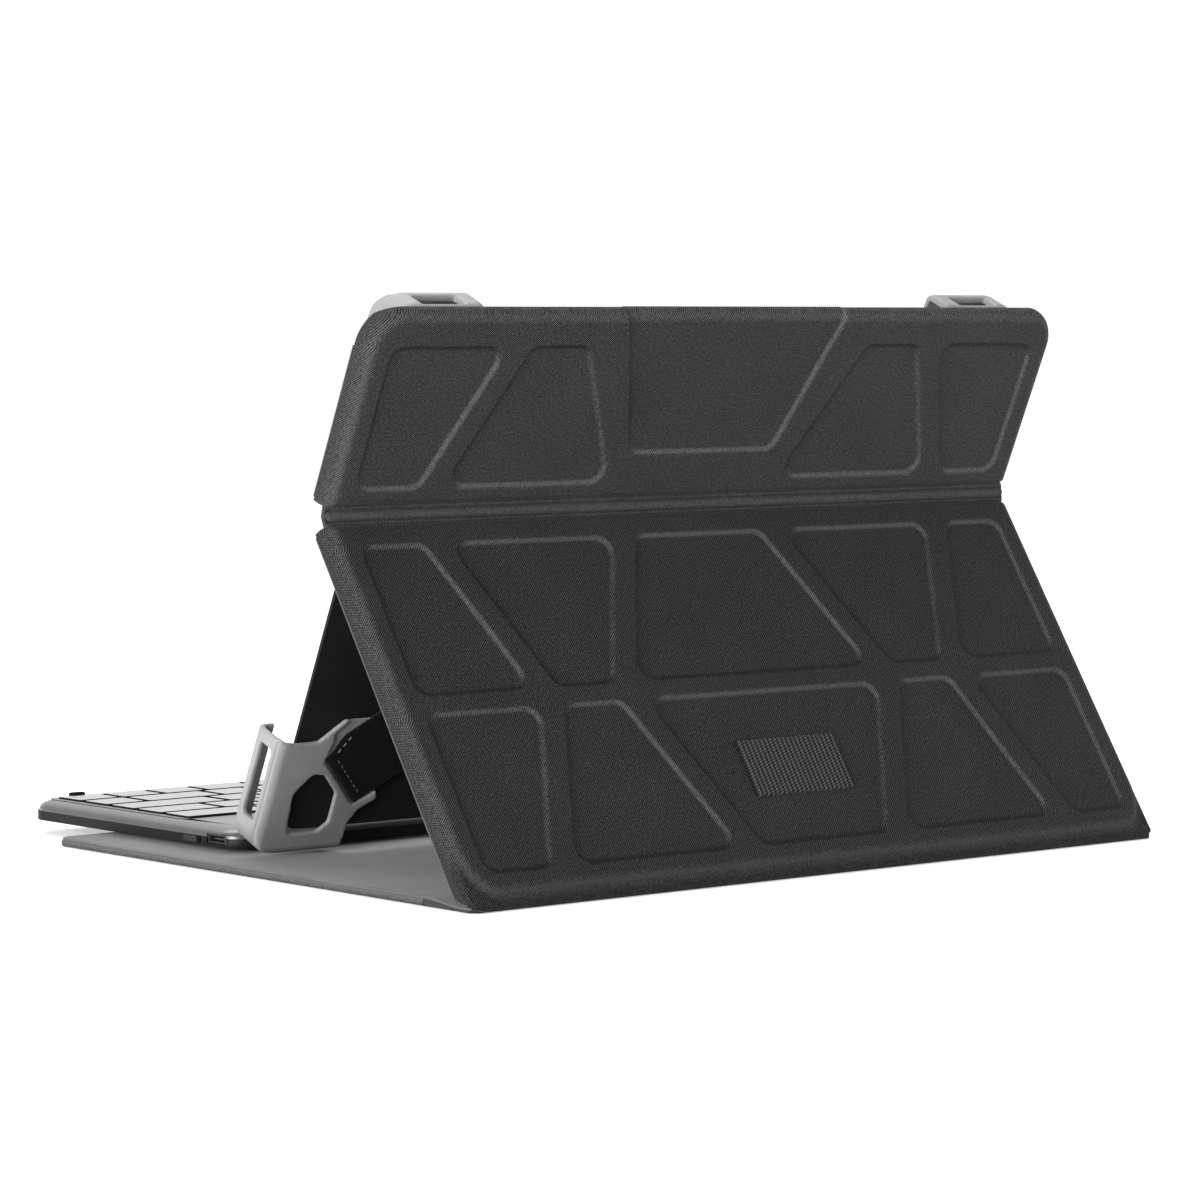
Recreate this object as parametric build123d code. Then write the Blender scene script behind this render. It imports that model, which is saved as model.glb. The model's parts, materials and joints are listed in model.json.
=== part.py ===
"""Tablet keyboard case, standing open with its back folded into a kickstand. Millimetres, +Z up.

X runs to the user's right, Y away from the user. The front cover lies flat on the table with the
keyboard on it, the lower back panel props the fold line up, and the upper back panel carries the
tray for the tablet.

The two back panels and the tray are drawn flat, in panel coordinates: x as above, y measured up
from the fold line, z measured inward from the outer face. They are then set on the planes UPPER
and LOWER.
"""
from build123d import *
import os
from math import cos, radians, sin, tan

# ---------------------------------------------------------------- driving dimensions
WIDTH = 274.4  # both back panels and the front cover
UPPER_LENGTH = 63.2  # fold line to top edge
LOWER_LENGTH = 127.4  # fold line to the outer bottom edge
UPPER_LEAN = 66.24  # upper panel and tray above horizontal, degrees
LOWER_LEAN = 57.0  # lower panel above horizontal, degrees
FOLD_GAP = 2.0  # fold line to the end of each panel
FOOT_GAP = 1.5  # table to the lower panel, room for the spine under it

SHELL_THICKNESS = 5.0  # moulded foam shell
LINING_THICKNESS = 0.6
SIDE_LIP_DEPTH = 7.4  # how far the shell's side lips reach inward
SIDE_LIP_WIDTH = 4.0
TOP_CORNER_RADIUS = 12.0
EDGE_ROUND = 3.2
PRESS_DEPTH = 1.0  # of the shapes pressed into the outer faces

RIB = 9.5  # width of the flat ribs between pressed shapes
OUTER_RIB = (101.0, 82.0)  # x of the outer sloping rib at its wide and narrow end
INNER_RIB = (51.6, 29.5)  # x of the inner sloping rib at its wide and narrow end
SHAPE_EDGE = 128.4  # outer side of the outermost shapes
SHAPE_RADIUS = 4.0

COVER_DEPTH = 184.0
COVER_REAR = 44.5  # rear edge of the front cover, behind the fold line
COVER_RADIUS = 4.0
SKIN = 0.6
BOARD = 1.5
COVER_LINING = 0.7
SPINE_FRONT = 45.1
SPINE_REAR = 67.0
SPINE_LINING = 0.7

TABLET_WIDTH = 250.6
TABLET_HEIGHT = 174.1
TABLET_THICKNESS = 7.5
TABLET_BOTTOM = -113.9  # in panel coordinates
TRAY_INSET = 5.8  # tray edge inside the tablet's edge
TRAY_BACK = 7.6
TRAY_BOARD = 0.7
TRAY_LINING = 0.4
TRAY_RADIUS = 10.0

GRIP_WALL = 2.2
GRIP_BACK = (5.9, 7.4)
GRIP_FRONT = (16.5, 18.0)
GRIP_SIDE_LEG = 39.5
GRIP_END_LEG = 34.0
GRIP_RADIUS = 11.0
GRIP_LIP = 6.2
STRAP_LAYER = (6.0, 6.7)
HUB_LAYER = (6.75, 7.6)

KEYBOARD_HALF = 123.0
KEYBOARD_FRONT = 178.0  # front edge, ahead of the fold line
KEYBOARD_REAR = 65.0
KEYBOARD_BASE = 4.2
PARTING = 7.1  # height where the bottom case meets the top frame
DECK = 9.6
BEVEL = 6.5
WALL = 1.2
FRONT_RADIUS = 9.0
REAR_RADIUS = 8.0
WELL_HALF = 116.5
WELL_FRONT = 172.6
WELL_REAR = 98.6
ROWS = 5
UNITS = 14  # key columns of one unit
KEY_GAP = 1.7
KEY_BOTTOM = 9.2
KEY_TOP = 11.0
PLATE = (7.25, 7.6)
MEMBRANE = (7.6, 7.8)
DOMES = (7.8, 8.1)
DOME_TOP = 9.15

# ---------------------------------------------------------------- derived places
HALF = WIDTH / 2
lean = radians(UPPER_LEAN)
prop = radians(LOWER_LEAN)
FOLD_Z = LOWER_LENGTH * sin(prop)
REAR_REACH = (FOLD_Z - FOOT_GAP) / tan(prop)
FOLD_Y = (KEYBOARD_FRONT - REAR_REACH) / 2  # centres the whole object on Y = 0
UPPER = Plane(origin=(0, FOLD_Y, FOLD_Z), x_dir=(1, 0, 0), z_dir=(0, -sin(lean), cos(lean)))
LOWER = Plane(origin=(0, FOLD_Y, FOLD_Z), x_dir=(1, 0, 0), z_dir=(0, -sin(prop), -cos(prop)))
COVER_TOP = SKIN + BOARD + COVER_LINING
INNER_FACE = SHELL_THICKNESS + LINING_THICKNESS
GRIP_X = TABLET_WIDTH / 2 + GRIP_WALL
GRIP_BOTTOM = TABLET_BOTTOM - GRIP_WALL
GRIP_TOP = TABLET_BOTTOM + TABLET_HEIGHT + GRIP_WALL
TABLET_MIDDLE = TABLET_BOTTOM + TABLET_HEIGHT / 2


# ---------------------------------------------------------------- helpers
def slab(x, y, z):
    """Box between two limits on each axis."""
    size = [high - low for low, high in (x, y, z)]
    middle = [(low + high) / 2 for low, high in (x, y, z)]
    return Pos(*middle) * Box(*size)


def outline(points, radius=0.0):
    """Closed straight-sided face with all its corners rounded."""
    face = make_face(Polyline(*points, close=True))
    return fillet(face.vertices(), radius) if radius else face


def prism(face, z):
    """Face drawn at z = 0, extruded between two heights."""
    return Pos(0, 0, z[0]) * extrude(face, amount=z[1] - z[0])


def rounded_rectangle(x, y, radii):
    """Face with its own corner radius at low y and at high y."""
    face = outline([(x[0], y[0]), (x[1], y[0]), (x[1], y[1]), (x[0], y[1])])
    for corner_y, radius in zip(y, radii):
        if radius:
            face = fillet([v for v in face.vertices() if abs(v.Y - corner_y) < 0.01], radius)
    return face


def rounded_plate(x, y, z, radii):
    return prism(rounded_rectangle(x, y, radii), z)


def from_fold(distance):
    """World y of a place that lies this far behind the fold line."""
    return FOLD_Y + distance


def save(name, shape):
    """Writes one node, as a single solid or as a group of separate ones."""
    solids = shape.solids()
    export_step(solids[0] if len(solids) == 1 else Compound(children=solids), f"parts/{name}.step")


# ---------------------------------------------------------------- pressed shapes
def mirrored(points):
    return [(-x, y) for x, y in reversed(points)]


def shape_row(y_wide, y_narrow, wide_centre=True):
    """Outlines of the five pressed shapes of one row.

    The outer shapes end at SHAPE_EDGE. Sloping ribs part the others, and the middle shape is widest
    at y_wide.
    """
    half = RIB / 2
    inner_far, inner_near = INNER_RIB
    outer_far, outer_near = OUTER_RIB
    middle = [
        (-(inner_far - half), y_wide),
        (inner_far - half, y_wide),
        (inner_near - half, y_narrow),
        (-(inner_near - half), y_narrow),
    ]
    side = [
        (inner_far + half, y_wide),
        (outer_near - half, y_wide),
        (outer_far - half, y_narrow),
        (inner_near + half, y_narrow),
    ]
    end = [
        (outer_near + half, y_wide),
        (SHAPE_EDGE, y_wide),
        (SHAPE_EDGE, y_narrow),
        (outer_far + half, y_narrow),
    ]
    row = [side, end, mirrored(side), mirrored(end)]
    return [middle] + row if wide_centre else row


UPPER_ROWS = shape_row(52.0, 8.0, wide_centre=False)
UPPER_TONGUE = [  # runs out over the top edge
    (-46.7, UPPER_LENGTH + 8),
    (46.7, UPPER_LENGTH + 8),
    (28.5, 17.5),
    (-28.5, 17.5),
]
LOWER_ROWS = shape_row(-58.6, -10.3) + shape_row(-65.2, -115.0)


def pressed(shapes):
    """The shapes as a tool to cut with, in panel coordinates."""
    first, *others = [prism(outline(points, SHAPE_RADIUS), (-1, PRESS_DEPTH)) for points in shapes]
    return first + others


# ---------------------------------------------------------------- back panels
def side_lips(y):
    z = (0, SIDE_LIP_DEPTH)
    inner = HALF - SIDE_LIP_WIDTH
    return slab((-HALF, -inner), y, z) + slab((inner, HALF), y, z)


def upper_shell():
    y = (FOLD_GAP, UPPER_LENGTH)
    shell = rounded_plate((-HALF, HALF), y, (0, SHELL_THICKNESS), (0, TOP_CORNER_RADIUS))
    shell += side_lips((FOLD_GAP, UPPER_LENGTH - 1.5 * TOP_CORNER_RADIUS))
    outer = [e for e in shell.edges() if e.center().Z < 0.01 and e.center().Y > FOLD_GAP + 0.1]
    shell = fillet(outer, EDGE_ROUND)
    return shell - pressed(UPPER_ROWS + [UPPER_TONGUE])


def lower_shell():
    y = (-LOWER_LENGTH - SHELL_THICKNESS, -FOLD_GAP)
    shell = rounded_plate((-HALF, HALF), y, (0, SHELL_THICKNESS), (0, 0)) + side_lips(y)
    sides = [e for e in shell.edges() if e.center().Z < 0.01 and abs(e.center().X) > HALF - 1]
    shell = fillet(sides, EDGE_ROUND)
    shell -= pressed(LOWER_ROWS)
    return shell & above_foot_gap()


def above_foot_gap():
    """Everything over the foot gap, in panel coordinates of the lower panel."""
    room = slab((-HALF, HALF), (-60 + FOLD_Y, 90 + FOLD_Y), (FOOT_GAP, 140))
    return LOWER.location.inverse() * room


def upper_lining():
    x = HALF - SIDE_LIP_WIDTH - 0.1
    y = (FOLD_GAP, UPPER_LENGTH - 1.2)
    return rounded_plate((-x, x), y, (SHELL_THICKNESS, INNER_FACE), (0, TOP_CORNER_RADIUS - 4))


def lower_lining():
    x = HALF - SIDE_LIP_WIDTH - 0.1
    sheet = slab((-x, x), (-LOWER_LENGTH, -FOLD_GAP), (SHELL_THICKNESS, INNER_FACE))
    return sheet & above_foot_gap()


def woven_patch():
    """Blank woven tab sewn flat into the lower middle shape."""
    tab = outline([(-19.4, -99.4), (19.4, -99.4), (19.4, -81.0), (-19.4, -81.0)], 0.6)
    return prism(tab, (PRESS_DEPTH - 0.9, PRESS_DEPTH))


def fold_strip():
    """Strip of the outer fabric that bridges the two panels at the fold."""
    direction = UPPER.y_dir * FOLD_GAP, LOWER.y_dir * -FOLD_GAP
    inward = UPPER.z_dir, LOWER.z_dir
    corners = [
        direction[0] + inward[0] * 0.3,
        direction[0] + inward[0] * 1.5,
        (inward[0] + inward[1]).normalized() * 2.4,
        direction[1] + inward[1] * 1.5,
        direction[1] + inward[1] * 0.3,
        (inward[0] + inward[1]).normalized() * 1.0,
    ]
    profile = Plane.YZ * outline([(c.Y + FOLD_Y, c.Z + FOLD_Z) for c in corners])
    return Pos(-HALF + 1, 0, 0) * extrude(profile, amount=WIDTH - 2)


# ---------------------------------------------------------------- tray and straps
def tray_outline():
    half_x = TABLET_WIDTH / 2 - TRAY_INSET
    half_y = TABLET_HEIGHT / 2 - TRAY_INSET
    return (-half_x, half_x), (TABLET_MIDDLE - half_y, TABLET_MIDDLE + half_y)


def tray_board():
    x, y = tray_outline()
    return rounded_plate(x, y, (TRAY_BACK, TRAY_BACK + TRAY_BOARD), (TRAY_RADIUS, TRAY_RADIUS))


def tray_lining():
    x, y = tray_outline()
    z = TRAY_BACK + TRAY_BOARD
    return rounded_plate(x, y, (z, z + TRAY_LINING), (TRAY_RADIUS, TRAY_RADIUS))


def bond_pad():
    """Pad that joins the tray to the upper panel, above the straps."""
    return rounded_plate((-40, 40), (18, 50), (INNER_FACE, TRAY_BACK), (4, 4))


def strap_hub():
    """Pad on the tray's back that the four straps are sewn to."""
    y = (TABLET_MIDDLE - 22, TABLET_MIDDLE + 22)
    return rounded_plate((-25, 25), y, HUB_LAYER, (6, 6))


# A grip is drawn once, with its outer corner at the origin: x runs from the outer side wall towards
# the middle of the tablet, y from the outer end wall towards the middle. The strap's end is sewn
# beside the bar, over a thinner plate that is part of the arm.
BAR_LOW = (34.4, 16.3)
BAR_HIGH = (19.9, 31.7)
STRAP_CORNER = (21.7, 37.8)
GRIP_ARM = [
    (0, 0),
    (GRIP_END_LEG, 0),
    (34.6, 9.6),
    (37.2, 13.8),
    (43.4, 17.2),
    (42.2, 19.9),
    (34.1, 16.0),
    (19.6, 31.4),
    (21.4, 38.2),
    (20.6, 40.4),
    (25.4, 45.2),
    (23.6, 45.2),
    (15.4, 38.4),
    (7.0, 38.2),
    (0, GRIP_SIDE_LEG),
]
ARM_PLATE = [
    (34.0, 16.0),
    (42.0, 20.0),
    (46.5, 27.5),
    (40.0, 45.4),
    (24.4, 45.2),
    (19.0, 40.2),
    (18.0, 31.0),
]
ARM_PLATE_LAYER = (6.85, GRIP_BACK[1])
GRIP_WINDOW = [
    (12.4, 7.4),
    (11.2, 21.0),
    (16.6, 27.2),
    (20.8, 26.8),
    (26.8, 20.4),
    (27.0, 10.4),
    (23.2, 7.4),
]
SIDE_SLOT = (12.0, 35.5)
END_SLOT = (12.0, 28.0)
SLOT_DEPTH = (8.6, 14.2)


def grip_corner():
    """One silicone corner grip: end wall, side wall, back wall with its arm, and front lip."""
    corner = [(0, 0), (GRIP_END_LEG, 0), (GRIP_END_LEG, GRIP_SIDE_LEG), (0, GRIP_SIDE_LEG)]

    def inset(distance):
        face = outline([(distance, distance), (60, distance), (60, 60), (distance, 60)])
        radius = max(GRIP_RADIUS - distance, 3.0)
        return fillet(face.vertices().sort_by_distance((distance, distance, 0))[0], radius)

    outer = outline(corner) & inset(0)
    walls = prism(outer - inset(GRIP_WALL), (GRIP_BACK[0], GRIP_FRONT[1]))
    back = prism((outline(GRIP_ARM) & inset(0)) - outline(GRIP_WINDOW, 2.0), GRIP_BACK)
    back += prism(outline(ARM_PLATE), ARM_PLATE_LAYER)
    lip = prism(outer - inset(GRIP_LIP), GRIP_FRONT)
    grip = walls + back + lip
    grip -= slab((-1, GRIP_WALL + 1), SIDE_SLOT, SLOT_DEPTH)
    grip -= slab(END_SLOT, (-1, GRIP_WALL + 1), SLOT_DEPTH)
    return grip


def strap():
    """Elastic strap from the grip's bar to the hub, cut at the middle lines of the tray."""
    centre = (GRIP_X, TABLET_MIDDLE - GRIP_BOTTOM)
    bar_middle = ((BAR_LOW[0] + BAR_HIGH[0]) / 2, (BAR_LOW[1] + BAR_HIGH[1]) / 2)
    run = Vector(centre[0] - bar_middle[0], centre[1] - bar_middle[1]) * 1.2
    far_low = (BAR_LOW[0] + run.X, BAR_LOW[1] + run.Y)
    far_high = (STRAP_CORNER[0] + run.X, STRAP_CORNER[1] + run.Y)
    band = outline([BAR_LOW, far_low, far_high, STRAP_CORNER, BAR_HIGH])
    limit_x, limit_y = centre[0] - 0.3, centre[1] - 0.3
    quadrant = outline([(0, 0), (limit_x, 0), (limit_x, limit_y), (0, limit_y)])
    return prism(band & quadrant, STRAP_LAYER)


def at_corner(shape, side, end):
    """Sets a grip or strap at one corner of the tray. side is 1 at +x, end is 1 at the top."""
    placed = shape.mirror(Plane.YZ) if side > 0 else shape
    placed = placed.mirror(Plane.XZ) if end > 0 else placed
    return Pos(side * GRIP_X, GRIP_TOP if end > 0 else GRIP_BOTTOM, 0) * placed


# ---------------------------------------------------------------- front cover and spine
COVER_Y = (from_fold(COVER_REAR - COVER_DEPTH), from_fold(COVER_REAR))
MAGNET_PLACES = [(x, from_fold(-82)) for x in (-95, -32, 32, 95)]
MAGNET_RADIUS = 6.0
MAGNET_HEIGHT = 0.9


def cover_outer_skin():
    return rounded_plate((-HALF, HALF), COVER_Y, (0, SKIN), (COVER_RADIUS, 2))


def cover_board():
    inset = 0.8
    y = (COVER_Y[0] + inset, COVER_Y[1] - inset)
    x = (-HALF + inset, HALF - inset)
    board = rounded_plate(x, y, (SKIN, SKIN + BOARD), (COVER_RADIUS - inset, 1.5))
    return board - cover_magnets()


def cover_magnets():
    middle = SKIN + BOARD - MAGNET_HEIGHT / 2
    discs = [Pos(x, y, middle) * Cylinder(MAGNET_RADIUS, MAGNET_HEIGHT) for x, y in MAGNET_PLACES]
    return Compound(children=discs)


def cover_lining():
    return rounded_plate((-HALF, HALF), COVER_Y, (SKIN + BOARD, COVER_TOP), (COVER_RADIUS, 2))


def spine_skin():
    return slab((-HALF, HALF), (from_fold(SPINE_FRONT), from_fold(SPINE_REAR)), (0, SKIN))


def spine_lining():
    inset = 0.5
    y = (from_fold(SPINE_FRONT), from_fold(SPINE_REAR - inset))
    return slab((-HALF + inset, HALF - inset), y, (SKIN, SKIN + SPINE_LINING))


# ---------------------------------------------------------------- keyboard
KEYBOARD_Y = (from_fold(-KEYBOARD_FRONT), from_fold(-KEYBOARD_REAR))
WELL_Y = (from_fold(-WELL_FRONT), from_fold(-WELL_REAR))
UNIT = 2 * WELL_HALF / UNITS
ROW_PITCH = (WELL_REAR - WELL_FRONT) / -ROWS
SCREWS = [(x, from_fold(-y)) for x in (-112.0, 112.0) for y in (94.4, 69.5)]
SCREWS += [(x, from_fold(-69.5)) for x in (-30.0, 30.0)]
SCREW_RADIUS = 0.8
SCREW_HEAD = (1.5, 0.7)
BOSS_RADIUS = 2.2
FOOT_PLACES = [(x, from_fold(-y)) for x in (-108, 108) for y in (168, 74)] + [(0, from_fold(-136))]
FOOT_RADIUS = 4.0
FOOT_CLEARANCE = 0.05
USB_Y = (from_fold(-79.0), from_fold(-70.2))
USB_Z = (5.45, 8.05)
SWITCH_Y = (from_fold(-91.0), from_fold(-82.0))
SWITCH_Z = (4.95, 7.0)
KNOB_LENGTH = 6.4
KNOB_RIBS = 6
BOARD_LAYER = (6.4, 7.4)
LENS_PLACES = [(x, from_fold(-74.0)) for x in (84.0, 90.0, 96.0)]
LENS_RADIUS = 0.8


def keyboard_plan(inset=0.0):
    """The keyboard's outline seen from above, drawn in by inset."""
    x = (-KEYBOARD_HALF + inset, KEYBOARD_HALF - inset)
    y = (KEYBOARD_Y[0] + inset, KEYBOARD_Y[1] - inset)
    return rounded_rectangle(x, y, (FRONT_RADIUS - inset, REAR_RADIUS - inset))


def side_cuts():
    """Openings in the right-hand wall for the charging socket and the power switch."""
    clearance = 0.2
    usb = slab(
        (KEYBOARD_HALF - 7.4, KEYBOARD_HALF + 2),
        (USB_Y[0] - clearance, USB_Y[1] + clearance),
        (USB_Z[0] - clearance, USB_Z[1] + clearance),
    )
    switch = slab((KEYBOARD_HALF - 3.4, KEYBOARD_HALF + 2), SWITCH_Y, SWITCH_Z)
    return usb + switch


def bottom_case():
    case = prism(keyboard_plan(), (KEYBOARD_BASE, PARTING))
    case -= prism(keyboard_plan(WALL), (KEYBOARD_BASE + 1, PARTING + 1))
    head_radius, head_height = SCREW_HEAD
    for x, y in SCREWS:
        case -= Pos(x, y, KEYBOARD_BASE) * Cylinder(SCREW_RADIUS + 0.1, 4)
        recess = Cylinder(head_radius + 0.1, head_height)
        case -= Pos(x, y, KEYBOARD_BASE + head_height / 2) * recess
    return case - side_cuts()


def top_frame():
    """Deck with its bevelled edge and key well, and screw bosses down to the case floor."""
    frame = loft([Pos(0, 0, PARTING) * keyboard_plan(), Pos(0, 0, DECK) * keyboard_plan(BEVEL)])
    hollow_half = KEYBOARD_HALF - BEVEL + 1
    rear_hollow = slab(
        (-hollow_half, hollow_half),
        (WELL_Y[1] + WALL, KEYBOARD_Y[1] - BEVEL + 1),
        (PARTING - 1, DECK - WALL),
    )
    frame -= rear_hollow
    frame -= slab((-WELL_HALF, WELL_HALF), WELL_Y, (PARTING - 1, DECK + 1))
    for x, y in SCREWS:
        floor = KEYBOARD_BASE + 1
        height = DECK - WALL + 0.2 - floor
        boss = Pos(x, y, floor + height / 2) * Cylinder(BOSS_RADIUS, height)
        hole = Pos(x, y, floor + 1.4) * Cylinder(SCREW_RADIUS + 0.02, 3.0)
        frame = frame + boss - hole
    for x, y in LENS_PLACES:
        frame -= Pos(x, y, DECK) * Cylinder(LENS_RADIUS + 0.03, 4)
    return frame - side_cuts()


def case_screws():
    screws = []
    for x, y in SCREWS:
        head = Pos(x, y, KEYBOARD_BASE + SCREW_HEAD[1] / 2) * Cylinder(*SCREW_HEAD)
        shaft = Pos(x, y, KEYBOARD_BASE + 1.6) * Cylinder(SCREW_RADIUS, 3.2)
        recess_cross = Pos(x, y, KEYBOARD_BASE) * (Box(1.6, 0.4, 0.6) + Box(0.4, 1.6, 0.6))
        screws.append(head + shaft - recess_cross)
    return Compound(children=screws)


def keyboard_feet():
    z = (COVER_TOP + FOOT_CLEARANCE, KEYBOARD_BASE)
    feet = [Pos(x, y, sum(z) / 2) * Cylinder(FOOT_RADIUS, z[1] - z[0]) for x, y in FOOT_PLACES]
    return Compound(children=feet)


def dock_magnets():
    floor = KEYBOARD_BASE + 1
    discs = [Pos(x, y, floor + 0.5) * Cylinder(MAGNET_RADIUS - 1, 1.0) for x, y in MAGNET_PLACES]
    return Compound(children=discs)


def well_sheet(z, inset=0.4):
    x = (-WELL_HALF + inset, WELL_HALF - inset)
    return slab(x, (WELL_Y[0] + inset, WELL_Y[1] - inset), z)


def circuit_board():
    """Control board with its chips, above the docking magnets."""
    y = (WELL_Y[1] + 4.5, KEYBOARD_Y[1] - 9)
    board = slab((62, 108), y, BOARD_LAYER)
    middle = sum(y) / 2
    chip_z = (BOARD_LAYER[1], BOARD_LAYER[1] + 0.8)
    for x, size in ((70, 5.0), (82, 7.0), (96, 4.0)):
        board += slab((x, x + size), (middle - size / 2, middle + size / 2), chip_z)
    return board


def battery():
    y = (WELL_Y[1] + 8, KEYBOARD_Y[1] - 9)
    return rounded_plate((-86, -40), y, (KEYBOARD_BASE + 1.05, DECK - WALL - 0.5), (1.5, 1.5))


def usb_socket():
    """Charging socket: a thin metal shell with its tongue."""
    depth = 6.6
    x = (KEYBOARD_HALF - 0.6 - depth, KEYBOARD_HALF - 0.6)
    wall = 0.35
    room_y = (USB_Y[0] + wall, USB_Y[1] - wall)
    room_z = (USB_Z[0] + wall, USB_Z[1] - wall)
    shell = slab(x, USB_Y, USB_Z) - slab((x[0] + 0.6, x[1] + 1), room_y, room_z)
    tongue = slab((x[0], x[1] - 1), (USB_Y[0] + 1.6, USB_Y[1] - 1.6), (6.5, 7.0))
    return shell + tongue


def power_switch():
    """Sliding knob with fine ribs on its outer face."""
    y = (SWITCH_Y[0] + 0.25, SWITCH_Y[0] + 0.25 + KNOB_LENGTH)
    z = (SWITCH_Z[0] + 0.1, SWITCH_Z[1] - 0.1)
    knob = slab((KEYBOARD_HALF - 3.0, KEYBOARD_HALF + 0.15), y, z)
    pitch = KNOB_LENGTH / KNOB_RIBS
    for i in range(KNOB_RIBS):
        start = y[0] + i * pitch + 0.25 * pitch
        knob += slab((KEYBOARD_HALF + 0.1, KEYBOARD_HALF + 0.5), (start, start + pitch / 2), z)
    return knob


def status_lenses():
    """Small light guides in the deck for power, pairing and charge."""
    z = DECK - WALL / 2 + 0.05
    return Compound(children=[Pos(x, y, z) * Cylinder(LENS_RADIUS, WALL) for x, y in LENS_PLACES])


# Each row is a list of (name, width in units) from the user's left. None is an ordinary key.
KEY_ROWS = [
    [("fn", 1), ("control", 1), ("option", 1), ("meta_left", 1.25), ("space", 5.5)]
    + [("meta_right", 1.25), ("arrow_left", 1), ("arrow_down", 1), ("arrow_right", 1)],
    [("shift_left", 2.25)] + [None] * 9 + [("shift_right", 1.75), ("arrow_up", 1)],
    [("caps", 1.75)] + [None] * 10 + [("enter", 2.25)],
    [("tab", 1.5)] + [None] * 11 + [("backslash", 1.5)],
    [("escape", 1)] + [None] * 11 + [("backspace", 2)],
]


def key_places():
    """(row number, key name or None, x limits, y limits) of every key."""
    for row, keys in enumerate(KEY_ROWS):
        x = -WELL_HALF
        y = WELL_Y[0] + row * ROW_PITCH
        for key in keys:
            name, units = key or (None, 1)
            width = units * UNIT
            x_limits = (x + KEY_GAP / 2, x + width - KEY_GAP / 2)
            yield row, name, x_limits, (y + KEY_GAP / 2, y + ROW_PITCH - KEY_GAP / 2)
            x += width


def key_cap(x, y):
    cap = rounded_plate(x, y, (KEY_BOTTOM, KEY_TOP), (1.4, 1.4))
    top = cap.edges().filter_by(lambda e: abs(e.center().Z - KEY_TOP) < 0.01)
    return chamfer(top, 0.35)


def dome_sheet():
    sheet = well_sheet(DOMES)
    for _, _, x, y in key_places():
        height = DOME_TOP - DOMES[1]
        sheet += Pos(sum(x) / 2, sum(y) / 2, DOMES[1] + height / 2) * Cone(2.6, 1.5, height)
    return sheet


# ---------------------------------------------------------------- writing the nodes
os.makedirs("parts", exist_ok=True)

for piece in (
    cover_outer_skin,
    cover_board,
    cover_magnets,
    cover_lining,
    spine_skin,
    spine_lining,
    fold_strip,
    bottom_case,
    top_frame,
    case_screws,
    keyboard_feet,
    dock_magnets,
    circuit_board,
    battery,
    usb_socket,
    power_switch,
    status_lenses,
    dome_sheet,
):
    save(piece.__name__, piece())

save("key_plate", well_sheet(PLATE))
save("membrane_circuit", well_sheet(MEMBRANE))

for piece in (lower_shell, lower_lining, woven_patch):
    save(piece.__name__, LOWER.location * piece())

for piece in (upper_shell, upper_lining, bond_pad, tray_board, tray_lining, strap_hub):
    save(piece.__name__, UPPER.location * piece())

for side, side_name in ((1, "right"), (-1, "left")):
    for end, end_name in ((1, "top"), (-1, "bottom")):
        label = f"{end_name}_{side_name}"
        save(f"grip_{label}", UPPER.location * at_corner(grip_corner(), side, end))
        save(f"strap_{label}", UPPER.location * at_corner(strap(), side, end))

plain_keys = {}
for row, name, x, y in key_places():
    if name:
        save(f"key_{name}", key_cap(x, y))
    else:
        plain_keys.setdefault(row, []).append(key_cap(x, y))
for row, caps in plain_keys.items():
    save(f"keys_row_{row + 1}", Compound(children=caps))
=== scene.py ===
"""Looks for the tablet keyboard case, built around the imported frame.

Lengths are in millimetres, and MM turns them into the frame's metres.
"""

import json
import math

import bmesh
import bpy
import numpy as np
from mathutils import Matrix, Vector


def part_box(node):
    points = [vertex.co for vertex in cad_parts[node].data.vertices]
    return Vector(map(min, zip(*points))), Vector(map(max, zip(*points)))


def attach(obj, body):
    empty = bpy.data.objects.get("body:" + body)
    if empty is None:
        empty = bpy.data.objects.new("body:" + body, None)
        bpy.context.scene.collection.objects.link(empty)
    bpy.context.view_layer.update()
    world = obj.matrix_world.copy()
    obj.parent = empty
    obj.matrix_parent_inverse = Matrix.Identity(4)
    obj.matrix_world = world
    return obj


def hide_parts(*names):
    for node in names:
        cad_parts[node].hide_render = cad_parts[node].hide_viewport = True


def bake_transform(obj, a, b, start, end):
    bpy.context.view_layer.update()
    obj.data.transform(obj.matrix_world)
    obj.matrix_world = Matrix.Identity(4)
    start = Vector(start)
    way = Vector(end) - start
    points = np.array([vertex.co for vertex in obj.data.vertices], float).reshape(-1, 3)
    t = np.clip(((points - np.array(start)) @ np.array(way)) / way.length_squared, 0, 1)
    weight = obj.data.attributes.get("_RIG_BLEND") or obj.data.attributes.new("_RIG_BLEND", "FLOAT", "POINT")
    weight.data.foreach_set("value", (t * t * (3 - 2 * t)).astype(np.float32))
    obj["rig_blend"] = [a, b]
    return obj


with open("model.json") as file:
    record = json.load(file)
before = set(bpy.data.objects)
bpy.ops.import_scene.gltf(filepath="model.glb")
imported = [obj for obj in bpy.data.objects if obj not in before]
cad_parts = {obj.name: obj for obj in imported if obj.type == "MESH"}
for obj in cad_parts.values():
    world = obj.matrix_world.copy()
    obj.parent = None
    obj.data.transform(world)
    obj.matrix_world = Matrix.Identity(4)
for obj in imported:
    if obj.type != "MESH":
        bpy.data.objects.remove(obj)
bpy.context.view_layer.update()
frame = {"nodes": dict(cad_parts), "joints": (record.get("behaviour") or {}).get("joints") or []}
NODES = frame["nodes"]
MM = 0.001

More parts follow.
